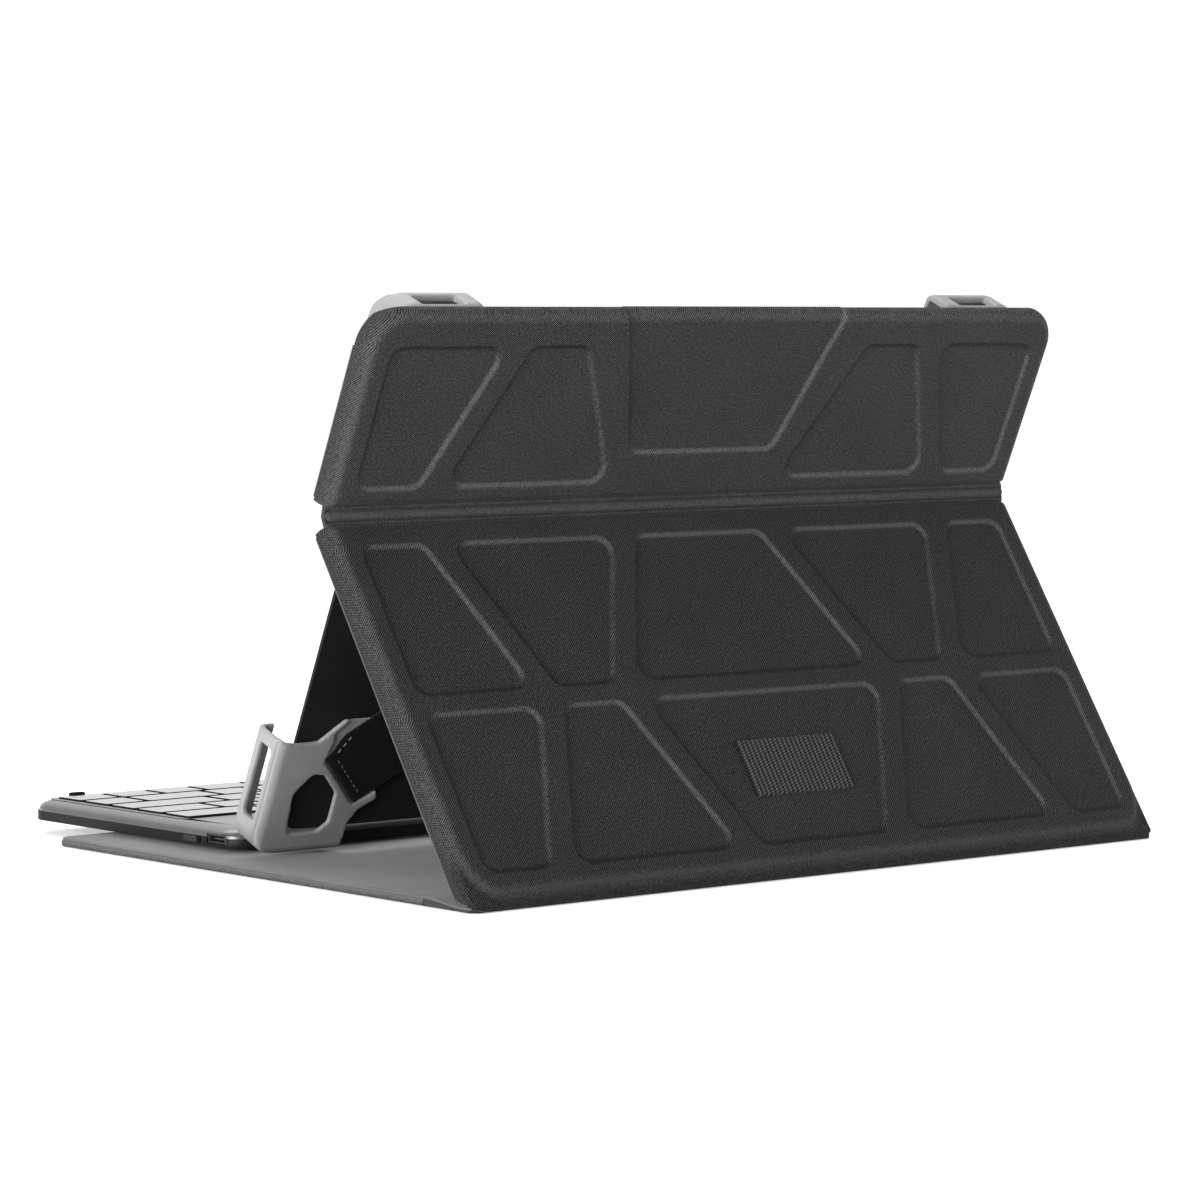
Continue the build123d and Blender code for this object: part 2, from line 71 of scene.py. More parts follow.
# ---------------------------------------------------------------- places taken from the frame
JOINTS = {j["name"]: j for j in frame["joints"]}
FOLD_Y, FOLD_Z = (JOINTS["mid_fold"]["pos_m"][i] / MM for i in (1, 2))
FOOT_Y, FOOT_Z = (JOINTS["kick_hinge"]["pos_m"][i] / MM for i in (1, 2))
WIDTH = (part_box("lower_shell")[1].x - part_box("lower_shell")[0].x) / MM
HALF = WIDTH / 2


def node_box(node):
    """Low and high corners of a CAD node's box."""
    return [np.array(corner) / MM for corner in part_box(node)]


# ---------------------------------------------------------------- sizes shared with the CAD
UPPER_LEAN = math.radians(66.24)
LOWER_LEAN = math.radians(57.0)
UPPER_LENGTH = 63.2
FOLD_GAP = 2.0  # from the fold line to each back panel
SHELL = 5.0  # thickness of a back panel's padding
LIP_DEPTH = 7.4  # of the lips along a back panel's sides
LIP_WIDTH = 4.0
TABLET_HALF = 125.3
TABLET_BOTTOM = -113.9  # in the upper panel's coordinates
TABLET_HEIGHT = 174.1
GRIP_WALL = 2.2
GRIP_X = TABLET_HALF + GRIP_WALL
GRIP_BOTTOM = TABLET_BOTTOM - GRIP_WALL
GRIP_TOP = TABLET_BOTTOM + TABLET_HEIGHT + GRIP_WALL
TAB_HALF = 19.4  # half the woven tab's width
TAB_RIBS = 22


class Panel:
    """Panel coordinates: x, s up from the fold line, depth inward from the outer face."""

    def __init__(self, s_dir, depth_dir):
        self.axes = np.array([[1, 0, 0], s_dir, depth_dir], float)

    def world(self, points):
        """Points in millimetres, as world metres."""
        return (np.asarray(points, float) @ self.axes + (0, FOLD_Y, FOLD_Z)) * MM


UPPER = Panel((0, math.cos(UPPER_LEAN), math.sin(UPPER_LEAN)),
              (0, -math.sin(UPPER_LEAN), math.cos(UPPER_LEAN)))
LOWER = Panel((0, -math.cos(LOWER_LEAN), math.sin(LOWER_LEAN)),
              (0, -math.sin(LOWER_LEAN), -math.cos(LOWER_LEAN)))
LOWER_END = -(FOLD_Z - FOOT_Z) / math.sin(LOWER_LEAN)  # the lower panel's outer bottom edge


# ---------------------------------------------------------------- materials
class Graph:
    """A material and short ways to add nodes to it."""

    def __init__(self, name, **sockets):
        self.material = bpy.data.materials.new(name)
        self.material.use_nodes = True
        self.tree = self.material.node_tree
        self.shader = self.tree.nodes["Principled BSDF"]
        for key, value in sockets.items():
            self.shader.inputs[key.replace("_", " ")].default_value = value

    def node(self, kind, settings=None, **inputs):
        made = self.tree.nodes.new(kind)
        for key, value in (settings or {}).items():
            setattr(made, key, value)
        for key, value in inputs.items():
            self.put(made.inputs[key.replace("_", " ")], value)
        return made

    def put(self, socket, value):
        if isinstance(value, bpy.types.NodeSocket):
            self.tree.links.new(value, socket)
        else:
            socket.default_value = value

    def math(self, operation, *values):
        made = self.tree.nodes.new("ShaderNodeMath")
        made.operation = operation
        for socket, value in zip(made.inputs, values):
            self.put(socket, value)
        return made.outputs[0]

    def total(self, *terms):
        """Sum of values, given as (value, weight)."""
        result = None
        for value, weight in terms:
            part = self.math("MULTIPLY", value, weight)
            result = part if result is None else self.math("ADD", result, part)
        return result

    def place(self, attribute=None):
        """Millimetre coordinates: a named attribute, or the object's own."""
        if attribute:
            return self.node("ShaderNodeAttribute", {"attribute_name": attribute}).outputs["Vector"]
        coordinates = self.node("ShaderNodeTexCoord").outputs["Object"]
        scaled = self.node("ShaderNodeVectorMath", {"operation": "SCALE"})
        self.put(scaled.inputs[0], coordinates)
        scaled.inputs["Scale"].default_value = 1 / MM
        return scaled.outputs[0]

    def noise(self, place, scale, detail=2.0, roughness=0.5):
        made = self.node("ShaderNodeTexNoise", Scale=scale, Detail=detail, Roughness=roughness)
        self.put(made.inputs["Vector"], place)
        return made.outputs["Fac"]

    def ramp(self, value, stops):
        made = self.node("ShaderNodeValToRGB")
        elements = made.color_ramp.elements
        while len(elements) < len(stops):
            elements.new(0.5)
        for element, (position, colour) in zip(elements, stops):
            element.position = position
            element.color = (*colour, 1)
        self.put(made.inputs["Fac"], value)
        return made.outputs["Color"]

    def bump(self, height, distance, strength=1.0):
        made = self.node("ShaderNodeBump", Strength=strength, Distance=distance * MM)
        self.put(made.inputs["Height"], height)
        return made.outputs["Normal"]

    def done(self, colour=None, normal=None, rough=None):
        if colour is not None:
            self.put(self.shader.inputs["Base Color"], colour)
        if normal is not None:
            self.put(self.shader.inputs["Normal"], normal)
        if rough is not None:
            self.put(self.shader.inputs["Roughness"], rough)
        return self.material


def grey(value):
    return (value, value, value)


def sine(g, value, period):
    return g.math("SINE", g.math("MULTIPLY", value, 2 * math.pi / period))


def twill(name, base):
    """Fine twill with painted shade in the weave's hollows and a painted highlight on its crests. nap, the
    cloth attribute's third value, adds painted light and shade.
    """
    g = Graph(name, Roughness=0.75, Sheen_Weight=0.04, Sheen_Roughness=0.4, Specular_IOR_Level=0.08)
    place = g.place("cloth")
    # nap: painted light and shade that each vertex carries, not a nap in the cloth
    x, y, nap = g.node("ShaderNodeSeparateXYZ", Vector=place).outputs
    wale = sine(g, g.math("ADD", x, y), 0.84)
    thread = sine(g, g.math("SUBTRACT", x, g.math("MULTIPLY", y, 1.7)), 0.92)
    height = g.total((wale, 0.55), (thread, 0.45))
    slub = g.noise(place, 1.6, 2.0)
    blotch = g.noise(place, 0.04, 3.0)
    level = g.total((height, 0.52), (slub, 0.9), (blotch, 0.12), (nap, 0.34))
    # the weave's height in the level gives painted shade in its hollows and a painted highlight on its
    # crests
    colour = g.ramp(level, [(0.1, grey(base * 0.06)), (0.42, grey(base * 0.4)), (0.62, grey(base * 1.2)),
                            (1.0, grey(base * 5.0))])
    return g.done(colour, g.bump(height, 0.06, 1.0))


def microfibre(name, base, nap=0.06, sheen=0.15):
    """Short brushed pile with soft patches where the nap lies differently."""
    g = Graph(name, Roughness=0.9, Sheen_Weight=sheen, Sheen_Roughness=0.5, Specular_IOR_Level=0.15)
    place = g.place()
    pile = g.noise(place, 3.2, 4.0, 0.7)
    patch = g.noise(place, 0.03, 3.0)
    level = g.total((pile, 0.55), (patch, 0.45))
    colour = g.ramp(level, [(0.25, grey(base * 0.6)), (0.5, grey(base)), (0.75, grey(base * 1.5))])
    return g.done(colour, g.bump(pile, nap, 0.8))


def velvet(name, base):
    """Brushed elastic: dark pile over a fine cross rib."""
    g = Graph(name, Roughness=0.85, Sheen_Weight=0.08, Sheen_Roughness=0.4, Specular_IOR_Level=0.1)
    place = g.place("cloth")
    x = g.node("ShaderNodeSeparateXYZ", Vector=place).outputs[0]
    rib = sine(g, x, 0.9)
    pile = g.noise(place, 3.6, 3.0, 0.7)
    height = g.math("ADD", g.math("MULTIPLY", rib, 0.3), pile)
    colour = g.ramp(pile, [(0.3, grey(base * 0.4)), (0.58, grey(base)), (0.74, grey(base * 7))])
    return g.done(colour, g.bump(height, 0.16, 0.8))


def webbing(name, base, rib_pitch):
    """Threads of the woven tab. Its ribs are in the mesh, and the colour is painted dark between them and
    pale on them: painted shade in the hollows and a painted highlight on the ribs.
    """
    g = Graph(name, Roughness=0.75, Sheen_Weight=0.08, Specular_IOR_Level=0.12)
    place = g.place("cloth")
    x, y = g.node("ShaderNodeSeparateXYZ", Vector=place).outputs[:2]
    rib = g.math("ABSOLUTE", sine(g, x, rib_pitch * 2))
    over = sine(g, g.math("ADD", y, g.math("MULTIPLY", x, 0.35)), 0.9)
    height = g.total((over, 0.3), (rib, 0.9))
    level = g.total((height, 0.62), (g.noise(place, 1.6, 1.0), 0.35))
    colour = g.ramp(level, [(0.25, grey(base * 0.05)), (0.55, grey(base * 0.7)), (0.95, grey(base * 3.6))])
    return g.done(colour, g.bump(height, 0.12, 1.0))


def moulded(name, base, rough, grain=0.03, grain_scale=2.2, tint=(1, 1, 1), wear=1.25, **sockets):
    """Moulded plastic or rubber with a spark-eroded grain and slightly uneven gloss."""
    g = Graph(name, Roughness=rough, **sockets)
    place = g.place()
    fine = g.noise(place, grain_scale, 3.0, 0.6)
    slow = g.noise(place, 0.06, 3.0)
    dark = tuple(base * 0.8 * c for c in tint)
    light = tuple(base * wear * c for c in tint)
    level = g.total((fine, 0.4), (slow, 0.6))
    colour = g.ramp(level, [(0.3, dark), (0.7, light)])
    gloss = g.math("ADD", g.math("MULTIPLY", slow, 0.16), rough - 0.08)
    return g.done(colour, g.bump(fine, grain, 0.6), gloss)


def key_plastic(name, base):
    """Keys: polished tops, and sides left with the mould's dull grain."""
    g = Graph(name, Specular_IOR_Level=0.5)
    place = g.place()
    fine = g.noise(place, 3.4, 3.0, 0.6)
    normal = g.node("ShaderNodeNewGeometry").outputs["Normal"]
    upward = g.node("ShaderNodeSeparateXYZ", Vector=normal).outputs[2]
    top = g.node("ShaderNodeMapRange", {"interpolation_type": "SMOOTHSTEP"}, Value=upward, From_Min=0.8,
                 From_Max=0.97).outputs[0]
    g.put(g.shader.inputs["Coat Weight"], g.math("MULTIPLY", top, 0.6))
    g.put(g.shader.inputs["Specular IOR Level"], g.math("MULTIPLY", top, 0.5))
    g.shader.inputs["Coat Roughness"].default_value = 0.08
    rough = g.math("SUBTRACT", 0.6, g.math("MULTIPLY", top, 0.43))
    colour = g.ramp(fine, [(0.3, grey(base * 0.7)), (0.7, grey(base * 1.2))])
    return g.done(colour, g.bump(fine, 0.002, 0.6), rough)


def metal(name, base, rough):
    """Bare metal with fine uneven marks."""
    g = Graph(name, Metallic=1.0, Roughness=rough)
    marks = g.noise(g.place(), 3.0, 4.0, 0.7)
    colour = g.ramp(marks, [(0.3, grey(base * 0.75)), (0.7, grey(base))])
    gloss = g.math("ADD", g.math("MULTIPLY", marks, 0.2), rough - 0.1)
    return g.done(colour, g.bump(marks, 0.01, 0.4), gloss)


TWILL = twill("charcoal_twill", 0.021)
# the same twill coloured darker for the lower panel and the foot wrap: painted shade, for the lower panel's
# lesser light
SHADED_TWILL = twill("charcoal_twill_painted_shade", 0.0165)
MICROFIBRE = microfibre("grey_microfibre", 0.10)
BLACK_NAP = microfibre("black_microfibre", 0.011, nap=0.06, sheen=0.12)
ELASTIC = velvet("brushed_elastic", 0.003)
WEBBING = webbing("ribbed_webbing", 0.026, 2 * TAB_HALF / TAB_RIBS)
SILICONE = moulded("grey_silicone", 0.26, 0.5, 0.02, 1.6, (0.985, 1.0, 1.02), 1.06, Specular_IOR_Level=0.4,
                   Subsurface_Weight=0.06, Subsurface_Scale=0.002)
# the case's sides are coloured much darker than the deck: painted shade on the side walls, and the deck
# painted lighter where the light falls on it
CASE_BLACK = moulded("case_black", 0.045, 0.36, 0.003, 3.0, Coat_Weight=0.6, Coat_Roughness=0.32)
CASE_SIDE = moulded("case_side_black", 0.007, 0.5, 0.02, 3.0, Specular_IOR_Level=0.15)
KEY_BLACK = key_plastic("key_black", 0.012)
TRAY_BLACK = moulded("tray_black", 0.009, 0.6, 0.012, 2.6, Specular_IOR_Level=0.2)
SWITCH_BLACK = moulded("switch_black", 0.02, 0.4, 0.01, 3.0)
RUBBER = moulded("foot_rubber", 0.012, 0.9, 0.05, 1.8, Specular_IOR_Level=0.0)
CIRCUIT = moulded("solder_mask", 0.05, 0.4, 0.01, 3.0, (0.3, 1.2, 0.5))
CELL = moulded("cell_foil", 0.3, 0.35, 0.03, 0.8)
DOME = moulded("dome_silicone", 0.35, 0.5, 0.02, 2.0)
FILM = moulded("printed_film", 0.4, 0.4, 0.01, 2.0, (1, 1, 0.8))
LENS = moulded("milky_lens", 0.55, 0.25, 0.005, 2.0, Coat_Weight=0.5)
STEEL = metal("screw_steel", 0.25, 0.4)
# dark socket steel: partly the socket's own metal, partly painted shade for the recessed port
SOCKET = metal("socket_steel", 0.14, 0.5)
NICKEL = metal("bright_nickel", 0.75, 0.25)
THREAD = moulded("grey_thread", 0.06, 0.7, 0.05, 5.0)
DARK_THREAD = moulded("strap_thread", 0.11, 0.5, 0.05, 5.0)


# ---------------------------------------------------------------- mesh helpers
def new_object(name, vertices, faces, material, cloth=None):
    """A smooth closed mesh. cloth gives each vertex its place in the fabric, and in its third value a level
    of painted light and shade.
    """
    mesh = bpy.data.meshes.new(name)
    mesh.from_pydata([tuple(v) for v in vertices], [], [tuple(f) for f in faces])
    mesh.update()
    if cloth is not None:
        layer = mesh.attributes.new("cloth", "FLOAT_VECTOR", "POINT")
        layer.data.foreach_set("vector", np.asarray(cloth, np.float32).ravel())
    mesh.materials.append(material)
    mesh.polygons.foreach_set("use_smooth", [True] * len(mesh.polygons))
    made = bpy.data.objects.new(name, mesh)
    bpy.context.scene.collection.objects.link(made)
    outward(made)
    return made


def outward(made):
    """Turns a closed mesh's faces outward."""
    work = bmesh.new()
    work.from_mesh(made.data)
    bmesh.ops.recalc_face_normals(work, faces=work.faces)
    work.to_mesh(made.data)
    work.free()


def ring_faces(ring_count, count):
    """Faces between closed rings of count points each, and one over each end."""
    faces = []
    for r in range(ring_count - 1):
        for i in range(count):
            k = (i + 1) % count
            faces.append((r * count + i, r * count + k, (r + 1) * count + k, (r + 1) * count + i))
    faces.append(tuple(range(count)))
    faces.append(tuple(range((ring_count - 1) * count, ring_count * count)))
    return faces


def level_ring(outline, z):
    """A flat outline's points at one height."""
    return np.column_stack([outline, np.full(len(outline), z)])


def grid_faces(index):
    """Faces over a grid of vertex numbers."""
    rows, columns = index.shape
    return [(index[i, j], index[i, j + 1], index[i + 1, j + 1], index[i + 1, j])
            for i in range(rows - 1) for j in range(columns - 1)]


def grid_edge(index):
    """Vertex numbers round a grid's edge, in order."""
    return list(index[0, :]) + list(index[1:, -1]) + list(index[-1, -2::-1]) + list(index[-2:0:-1, 0])


def slab_faces(index):
    """Faces of a slab: a grid of vertices, a second grid below it, and the wall between them."""
    count = index.size
    faces = []
    for quad in grid_faces(index):
        faces.append(quad)
        faces.append(tuple(q + count for q in quad[::-1]))
    edge = grid_edge(index)
    for i, a in enumerate(edge):
        b = edge[(i + 1) % len(edge)]
        faces.append((a, a + count, b + count, b))
    return faces


def piece(made, slot, body=None, *nodes):
    """A visible piece: attaches it to its body and hides the CAD nodes that it replaces. slot is not used.
    """
    if body:
        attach(made, body)
    if nodes:
        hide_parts(*nodes)
    return made


def smooth_by_angle(made, degrees=35):
    """Smooth shading, except across edges sharper than this angle."""
    for polygon in made.data.polygons:
        polygon.use_smooth = True
    attributes = made.data.attributes
    sharp = attributes.get("sharp_edge") or attributes.new("sharp_edge", "BOOLEAN", "EDGE")
    work = bmesh.new()
    work.from_mesh(made.data)
    work.edges.ensure_lookup_table()
    flags = [e.calc_face_angle(0) > math.radians(degrees) for e in work.edges]
    work.free()
    sharp.data.foreach_set("value", flags)


def baked(made, *modifiers):
    """Gives an object the mesh that these modifiers make of it: (type, settings)."""
    for kind, settings in modifiers:
        modifier = made.modifiers.new(kind.lower(), kind)
        for key, value in settings.items():
            setattr(modifier, key, value)
    bpy.context.view_layer.update()
    evaluated = made.evaluated_get(bpy.context.evaluated_depsgraph_get())
    data = bpy.data.meshes.new_from_object(evaluated)
    made.modifiers.clear()
    made.data = data


def step(value):
    """Smooth step from 0 to 1, for a number or an array."""
    value = np.clip(value, 0, 1)
    return value * value * (3 - 2 * value)


# ---------------------------------------------------------------- pressed shapes
RIB = 9.5  # width of the ribs between the shapes
OUTER_RIB = (101.0, 82.0)  # x of a slanting rib at its two ends
INNER_RIB = (51.6, 29.5)
SHAPE_EDGE = 128.4  # x where the outermost shapes end
SHAPE_RADIUS = 4.5
SHAPE_SLOPE = 1.7  # width of the slope round a shape
PRESS_DEPTH = 1.0
EDGE_ROUND = 3.6
HEM_DEPTH = 1.3  # of the fabric below the lower panel's padding
FACE_CORNER = 12.0


def shape_row(y_wide, y_narrow, centre=True):
    """Outlines of a row of shapes between slanting ribs, mirrored about x = 0."""
    half = RIB / 2
    (inner_far, inner_near), (outer_far, outer_near) = INNER_RIB, OUTER_RIB
    middle = [(half - inner_far, y_wide), (inner_far - half, y_wide), (inner_near - half, y_narrow),
              (half - inner_near, y_narrow)]
    side = [(inner_far + half, y_wide), (outer_near - half, y_wide), (outer_far - half, y_narrow),
            (inner_near + half, y_narrow)]
    end = [(outer_near + half, y_wide), (SHAPE_EDGE, y_wide), (SHAPE_EDGE, y_narrow),
           (outer_far + half, y_narrow)]
    row = [side, end] + [[(-x, y) for x, y in reversed(p)] for p in (side, end)]
    return ([middle] if centre else []) + row


UPPER_SHAPES = shape_row(52.0, 8.0, False) + [[(-46.7, 71.2), (46.7, 71.2), (28.5, 17.5), (-28.5, 17.5)]]
LOWER_SHAPES = shape_row(-58.6, -10.3) + shape_row(-65.2, -115.0)


def polygon_distance(x, y, points, radius):
    """Signed distance to a convex polygon with rounded corners, positive outside."""
    points = np.array(points, float)
    if np.sum(points[:, 0] * np.roll(points[:, 1], -1) - points[:, 1] * np.roll(points[:, 0], -1)) < 0:
        points = points[::-1]
    following = np.roll(points, -1, 0)
    along = following - points
    along /= np.linalg.norm(along, axis=1)[:, None]
    outward_dir = np.stack([along[:, 1], -along[:, 0]], 1)
    offset = np.sum(outward_dir * points, 1) - radius
    inset = []
    for i in range(len(points)):
        a, b = outward_dir[i - 1], outward_dir[i]
        inset.append(np.linalg.solve(np.array([a, b]), np.array([offset[i - 1], offset[i]])))
    inset = np.array(inset)
    inside = np.full(x.shape, -1e9)
    nearest = np.full(x.shape, 1e9)
    for i, start in enumerate(inset):
        end = inset[(i + 1) % len(inset)]
        edge = end - start
        t = np.clip(((x - start[0]) * edge[0] + (y - start[1]) * edge[1]) / (edge @ edge), 0, 1)
        nearest = np.minimum(nearest, np.hypot(x - start[0] - t * edge[0], y - start[1] - t * edge[1]))
        inside = np.maximum(inside, (x - start[0]) * outward_dir[i][0] + (y - start[1]) * outward_dir[i][1])
    return np.where(inside < 0, inside, nearest) - radius


# ---------------------------------------------------------------- moulded back panels
EDGE_STEPS = [0, 0.12, 0.35, 0.7, 1.15, 1.7, 2.35, 3.1, 3.9, 4.8, 5.8]  # mesh lines, from an edge
GRID = 0.56  # between the other mesh lines
LEAST_STEP = 0.02


def spread(low, high):
    """Sorted positions between two limits, closer together near both."""
    first, last = low + EDGE_STEPS[-1], high - EDGE_STEPS[-1]
    count = round((last - first) / GRID)
    values = set(np.linspace(first, last, count + 1))
    values |= {low + d for d in EDGE_STEPS} | {high - d for d in EDGE_STEPS}
    return np.array(sorted(values))


class Shell:
    """One moulded back panel. far is its free end in s; the shapes are pressed into its face.

    The padding stops short of the free end by hem, and the bare fabric below it is cut off at foot_slope.
    """

    def __init__(self, name, panel, far, corner, shapes, cloth, foot_slope=0.0, hem=0.0):
        self.name, self.panel, self.far, self.corner = name, panel, far, corner
        self.shapes, self.cloth, self.foot_slope, self.hem = shapes, cloth, foot_slope, hem
        self.sign = 1 if far > 0 else -1

    def inner_distance(self, x, s):
        """How far a point is inside the face, whose free corners are round. Negative beyond them."""
        to_side = HALF - np.abs(x)
        to_end = (abs(self.far) - self.hem - self.sign * s) * (0.72 if self.hem else 1)
        qx, qy = FACE_CORNER - to_side, FACE_CORNER - to_end
        corner = FACE_CORNER - np.hypot(np.maximum(qx, 0), np.maximum(qy, 0))
        return np.where((qx > 0) & (qy > 0), corner, np.minimum(to_side, to_end))

    def pressed(self, x, s):
        """Share of the full pressing depth, from 0 on the ribs to 1 in the shapes."""
        share = np.zeros_like(x)
        for points in self.shapes:
            distance = polygon_distance(x, s, points, SHAPE_RADIUS)
            share = np.maximum(share, 1 - step((distance + SHAPE_SLOPE / 2) / SHAPE_SLOPE))
        return share

    def painted_slope_light(self, x, s):
        """From -1 to 1: painted light and shade on the pressed slopes, by the way each faces: lighter on
        slopes facing +x or the panel's free end, darker on the others.
        """
        small = 0.05
        slope_x = (self.pressed(x + small, s) - self.pressed(x - small, s)) / (2 * small)
        slope_s = (self.pressed(x, s + small) - self.pressed(x, s - small)) / (2 * small)
        return np.clip(1.1 * slope_x + self.sign * 1.25 * slope_s, -0.8, 1)

    @staticmethod
    def rounding(distance):
        """Depth of the round edge at this distance inside it."""
        reach = np.clip(EDGE_ROUND - distance, 0, EDGE_ROUND)
        return EDGE_ROUND - np.sqrt(EDGE_ROUND ** 2 - reach ** 2)

    def depth(self, x, s):
        """Depth of the face: its round edge, the dip at the fold, the pressed shapes and a little slack."""
        inside = self.inner_distance(x, s)
        rim = self.rounding(inside) + np.clip(-inside, 0, 3) * 0.25
        if self.hem:
            rim = np.maximum(np.minimum(rim, HEM_DEPTH), self.rounding(HALF - np.abs(x)))
        fold_dip = 1.5 * (1 - step((self.sign * s - FOLD_GAP) / 2.2))
        slack = 0.06 * np.sin(x * 0.11 + s * 0.05) + 0.05 * np.sin(s * 0.16 - x * 0.07 + 1.3) - 0.08
        flat = step(inside / 12)
        return rim + fold_dip + PRESS_DEPTH * self.pressed(x, s) - slack * flat

    def half_width(self, s):
        """Half the panel's width, less in its round corners."""
        reach = self.corner - (abs(self.far) - self.sign * s)
        reach = np.clip(reach, 0, self.corner)
        return HALF - self.corner + np.sqrt(np.maximum(self.corner ** 2 - reach ** 2, 0))

    def face_grid(self):
        """The face as a grid of points, and their places in the cloth with a painted light level as the
        third value.
        """
        sign, far = self.sign, self.far
        rows = set(spread(*sorted((sign * FOLD_GAP, far))))
        rows |= {far - sign * (self.hem + d) for d in EDGE_STEPS}
        rows |= {far - sign * self.corner * (1 - math.sin(a)) for a in np.radians(np.arange(0, 91, 5))}
        rows = np.array(sorted(rows))
        rows = rows[np.insert(np.diff(rows) > LEAST_STEP, 0, True)]
        columns = spread(-HALF, HALF) / HALF
        s = np.repeat(rows[:, None], len(columns), 1)
        x = columns[None, :] * self.half_width(rows)[:, None]
        depth = self.depth(x, s)
        inside = self.inner_distance(x, s)
        # nap here is painted light: the slopes' painted light and shade, a painted highlight along the round
        # edge, and darker cloth beyond the face's edge
        nap = self.painted_slope_light(x, s) + 0.6 * step(1 - np.abs(inside - 1.6) / 2.4) - 0.2 * step(-inside)
        travel = np.cumsum(np.hypot(np.diff(x, axis=1), np.diff(depth, axis=1)), 1)
        arc_x = np.concatenate([np.zeros((len(rows), 1)), travel], 1)
        arc_x -= arc_x[:, [len(columns) // 2]]
        return np.stack([x, s, depth], 2), np.stack([arc_x, s, nap], 2)

    def lip_rings(self, edge, edge_cloth):
        """Rings inward from the face's edge: its wall, a bend, the lip's top and the drop behind it."""
        normal = self.edge_normals(edge)
        side_share = np.minimum(1, 2.2 * np.abs(normal[:, 0]) ** 2)
        lip = SHELL + (LIP_DEPTH - SHELL) * side_share
        wall = np.maximum(lip - edge[:, 2], 0.5)
        bend = np.minimum(0.9, 0.6 * wall)
        profile = [("wall", 0.5), ("wall", 1.0)] + [("bend", a) for a in (30, 60, 90)]
        profile += [("top", LIP_WIDTH - 1.2), ("top", LIP_WIDTH - 0.5), ("drop", LIP_WIDTH - 0.1)]
        rings, cloths = [], []
        travelled = np.zeros(len(edge))
        previous = edge
        for kind, value in profile:
            if kind == "wall":
                inset, level = 0 * wall, lip - bend - (wall - bend) * (1 - value)
            elif kind == "bend":
                turn = math.radians(value)
                inset, level = bend * (1 - math.cos(turn)), lip - bend * (1 - math.sin(turn))
            elif kind == "top":
                inset, level = value + 0 * wall, lip
            else:
                inset, level = value + 0 * wall, SHELL - 0.05
            ring = edge.copy()
            ring[:, 2] = level
            ring[:, :2] -= normal * inset[:, None]
            travelled += np.linalg.norm(ring - previous, axis=1)
            previous = ring
            cloth_ring = edge_cloth.copy()
            cloth_ring[:, :2] += normal * travelled[:, None]
            cloth_ring[:, 2] = 0
            rings.append(ring)
            cloths.append(cloth_ring)
        return rings, cloths

    def build(self, body, *nodes):
        grid, grid_cloth = self.face_grid()
        index = np.arange(grid.size // 3).reshape(grid.shape[:2])
        flat, cloth = grid.reshape(-1, 3), grid_cloth.reshape(-1, 3)
        faces = grid_faces(index)
        edge = grid_edge(index)
        rings, ring_cloths = self.lip_rings(flat[edge], cloth[edge])
        starts = [len(flat) + r * len(edge) for r in range(len(rings))]
        numbers = [edge] + [range(start, start + len(edge)) for start in starts]
        for first, second in zip(numbers, numbers[1:]):
            for i in range(len(edge)):
                k = (i + 1) % len(edge)
                faces.append((first[i], first[k], second[k], second[i]))
        faces.append(tuple(numbers[-1]))
        points = np.concatenate([flat, *rings])
        if self.foot_slope:
            length = abs(self.far)
            reach = length * 0.2
            near_foot = step((reach - (length - self.sign * points[:, 1])) / reach)
            points[:, 1] += self.foot_slope * points[:, 2] * near_foot
        cloths = np.concatenate([cloth, *ring_cloths])
        made = new_object(self.name, self.panel.world(points), faces, self.cloth, cloths)
        return piece(made, "twill_shell", body, *nodes)

    def edge_normals(self, edge):
        """Outward direction in the panel's plane at each point of its edge."""
        corner_x = HALF - self.corner
        corner_s = self.far - self.sign * self.corner
        normals = np.zeros((len(edge), 2))
        for i, (x, s, _) in enumerate(edge):
            beyond = self.sign * (s - corner_s) > 1e-6
            if beyond and abs(x) > corner_x - 1e-6:
                direction = np.array([x - math.copysign(corner_x, x), s - corner_s])
                normals[i] = direction / max(np.linalg.norm(direction), 1e-9)
            elif beyond:
                normals[i] = (0, self.sign)
            elif abs(abs(x) - HALF) < 1e-6:
                normals[i] = (math.copysign(1, x), 0)
        return normals


upper_shell = Shell("upper_panel_shell", UPPER, UPPER_LENGTH, 12.0, UPPER_SHAPES, TWILL)
upper_shell.build("upper_panel", "upper_shell")
lower_shell = Shell("lower_panel_shell", LOWER, LOWER_END, 3.5, LOWER_SHAPES, SHADED_TWILL,
                    foot_slope=1 / math.tan(LOWER_LEAN), hem=1.9)
lower_shell.build("lower_panel", "lower_shell")


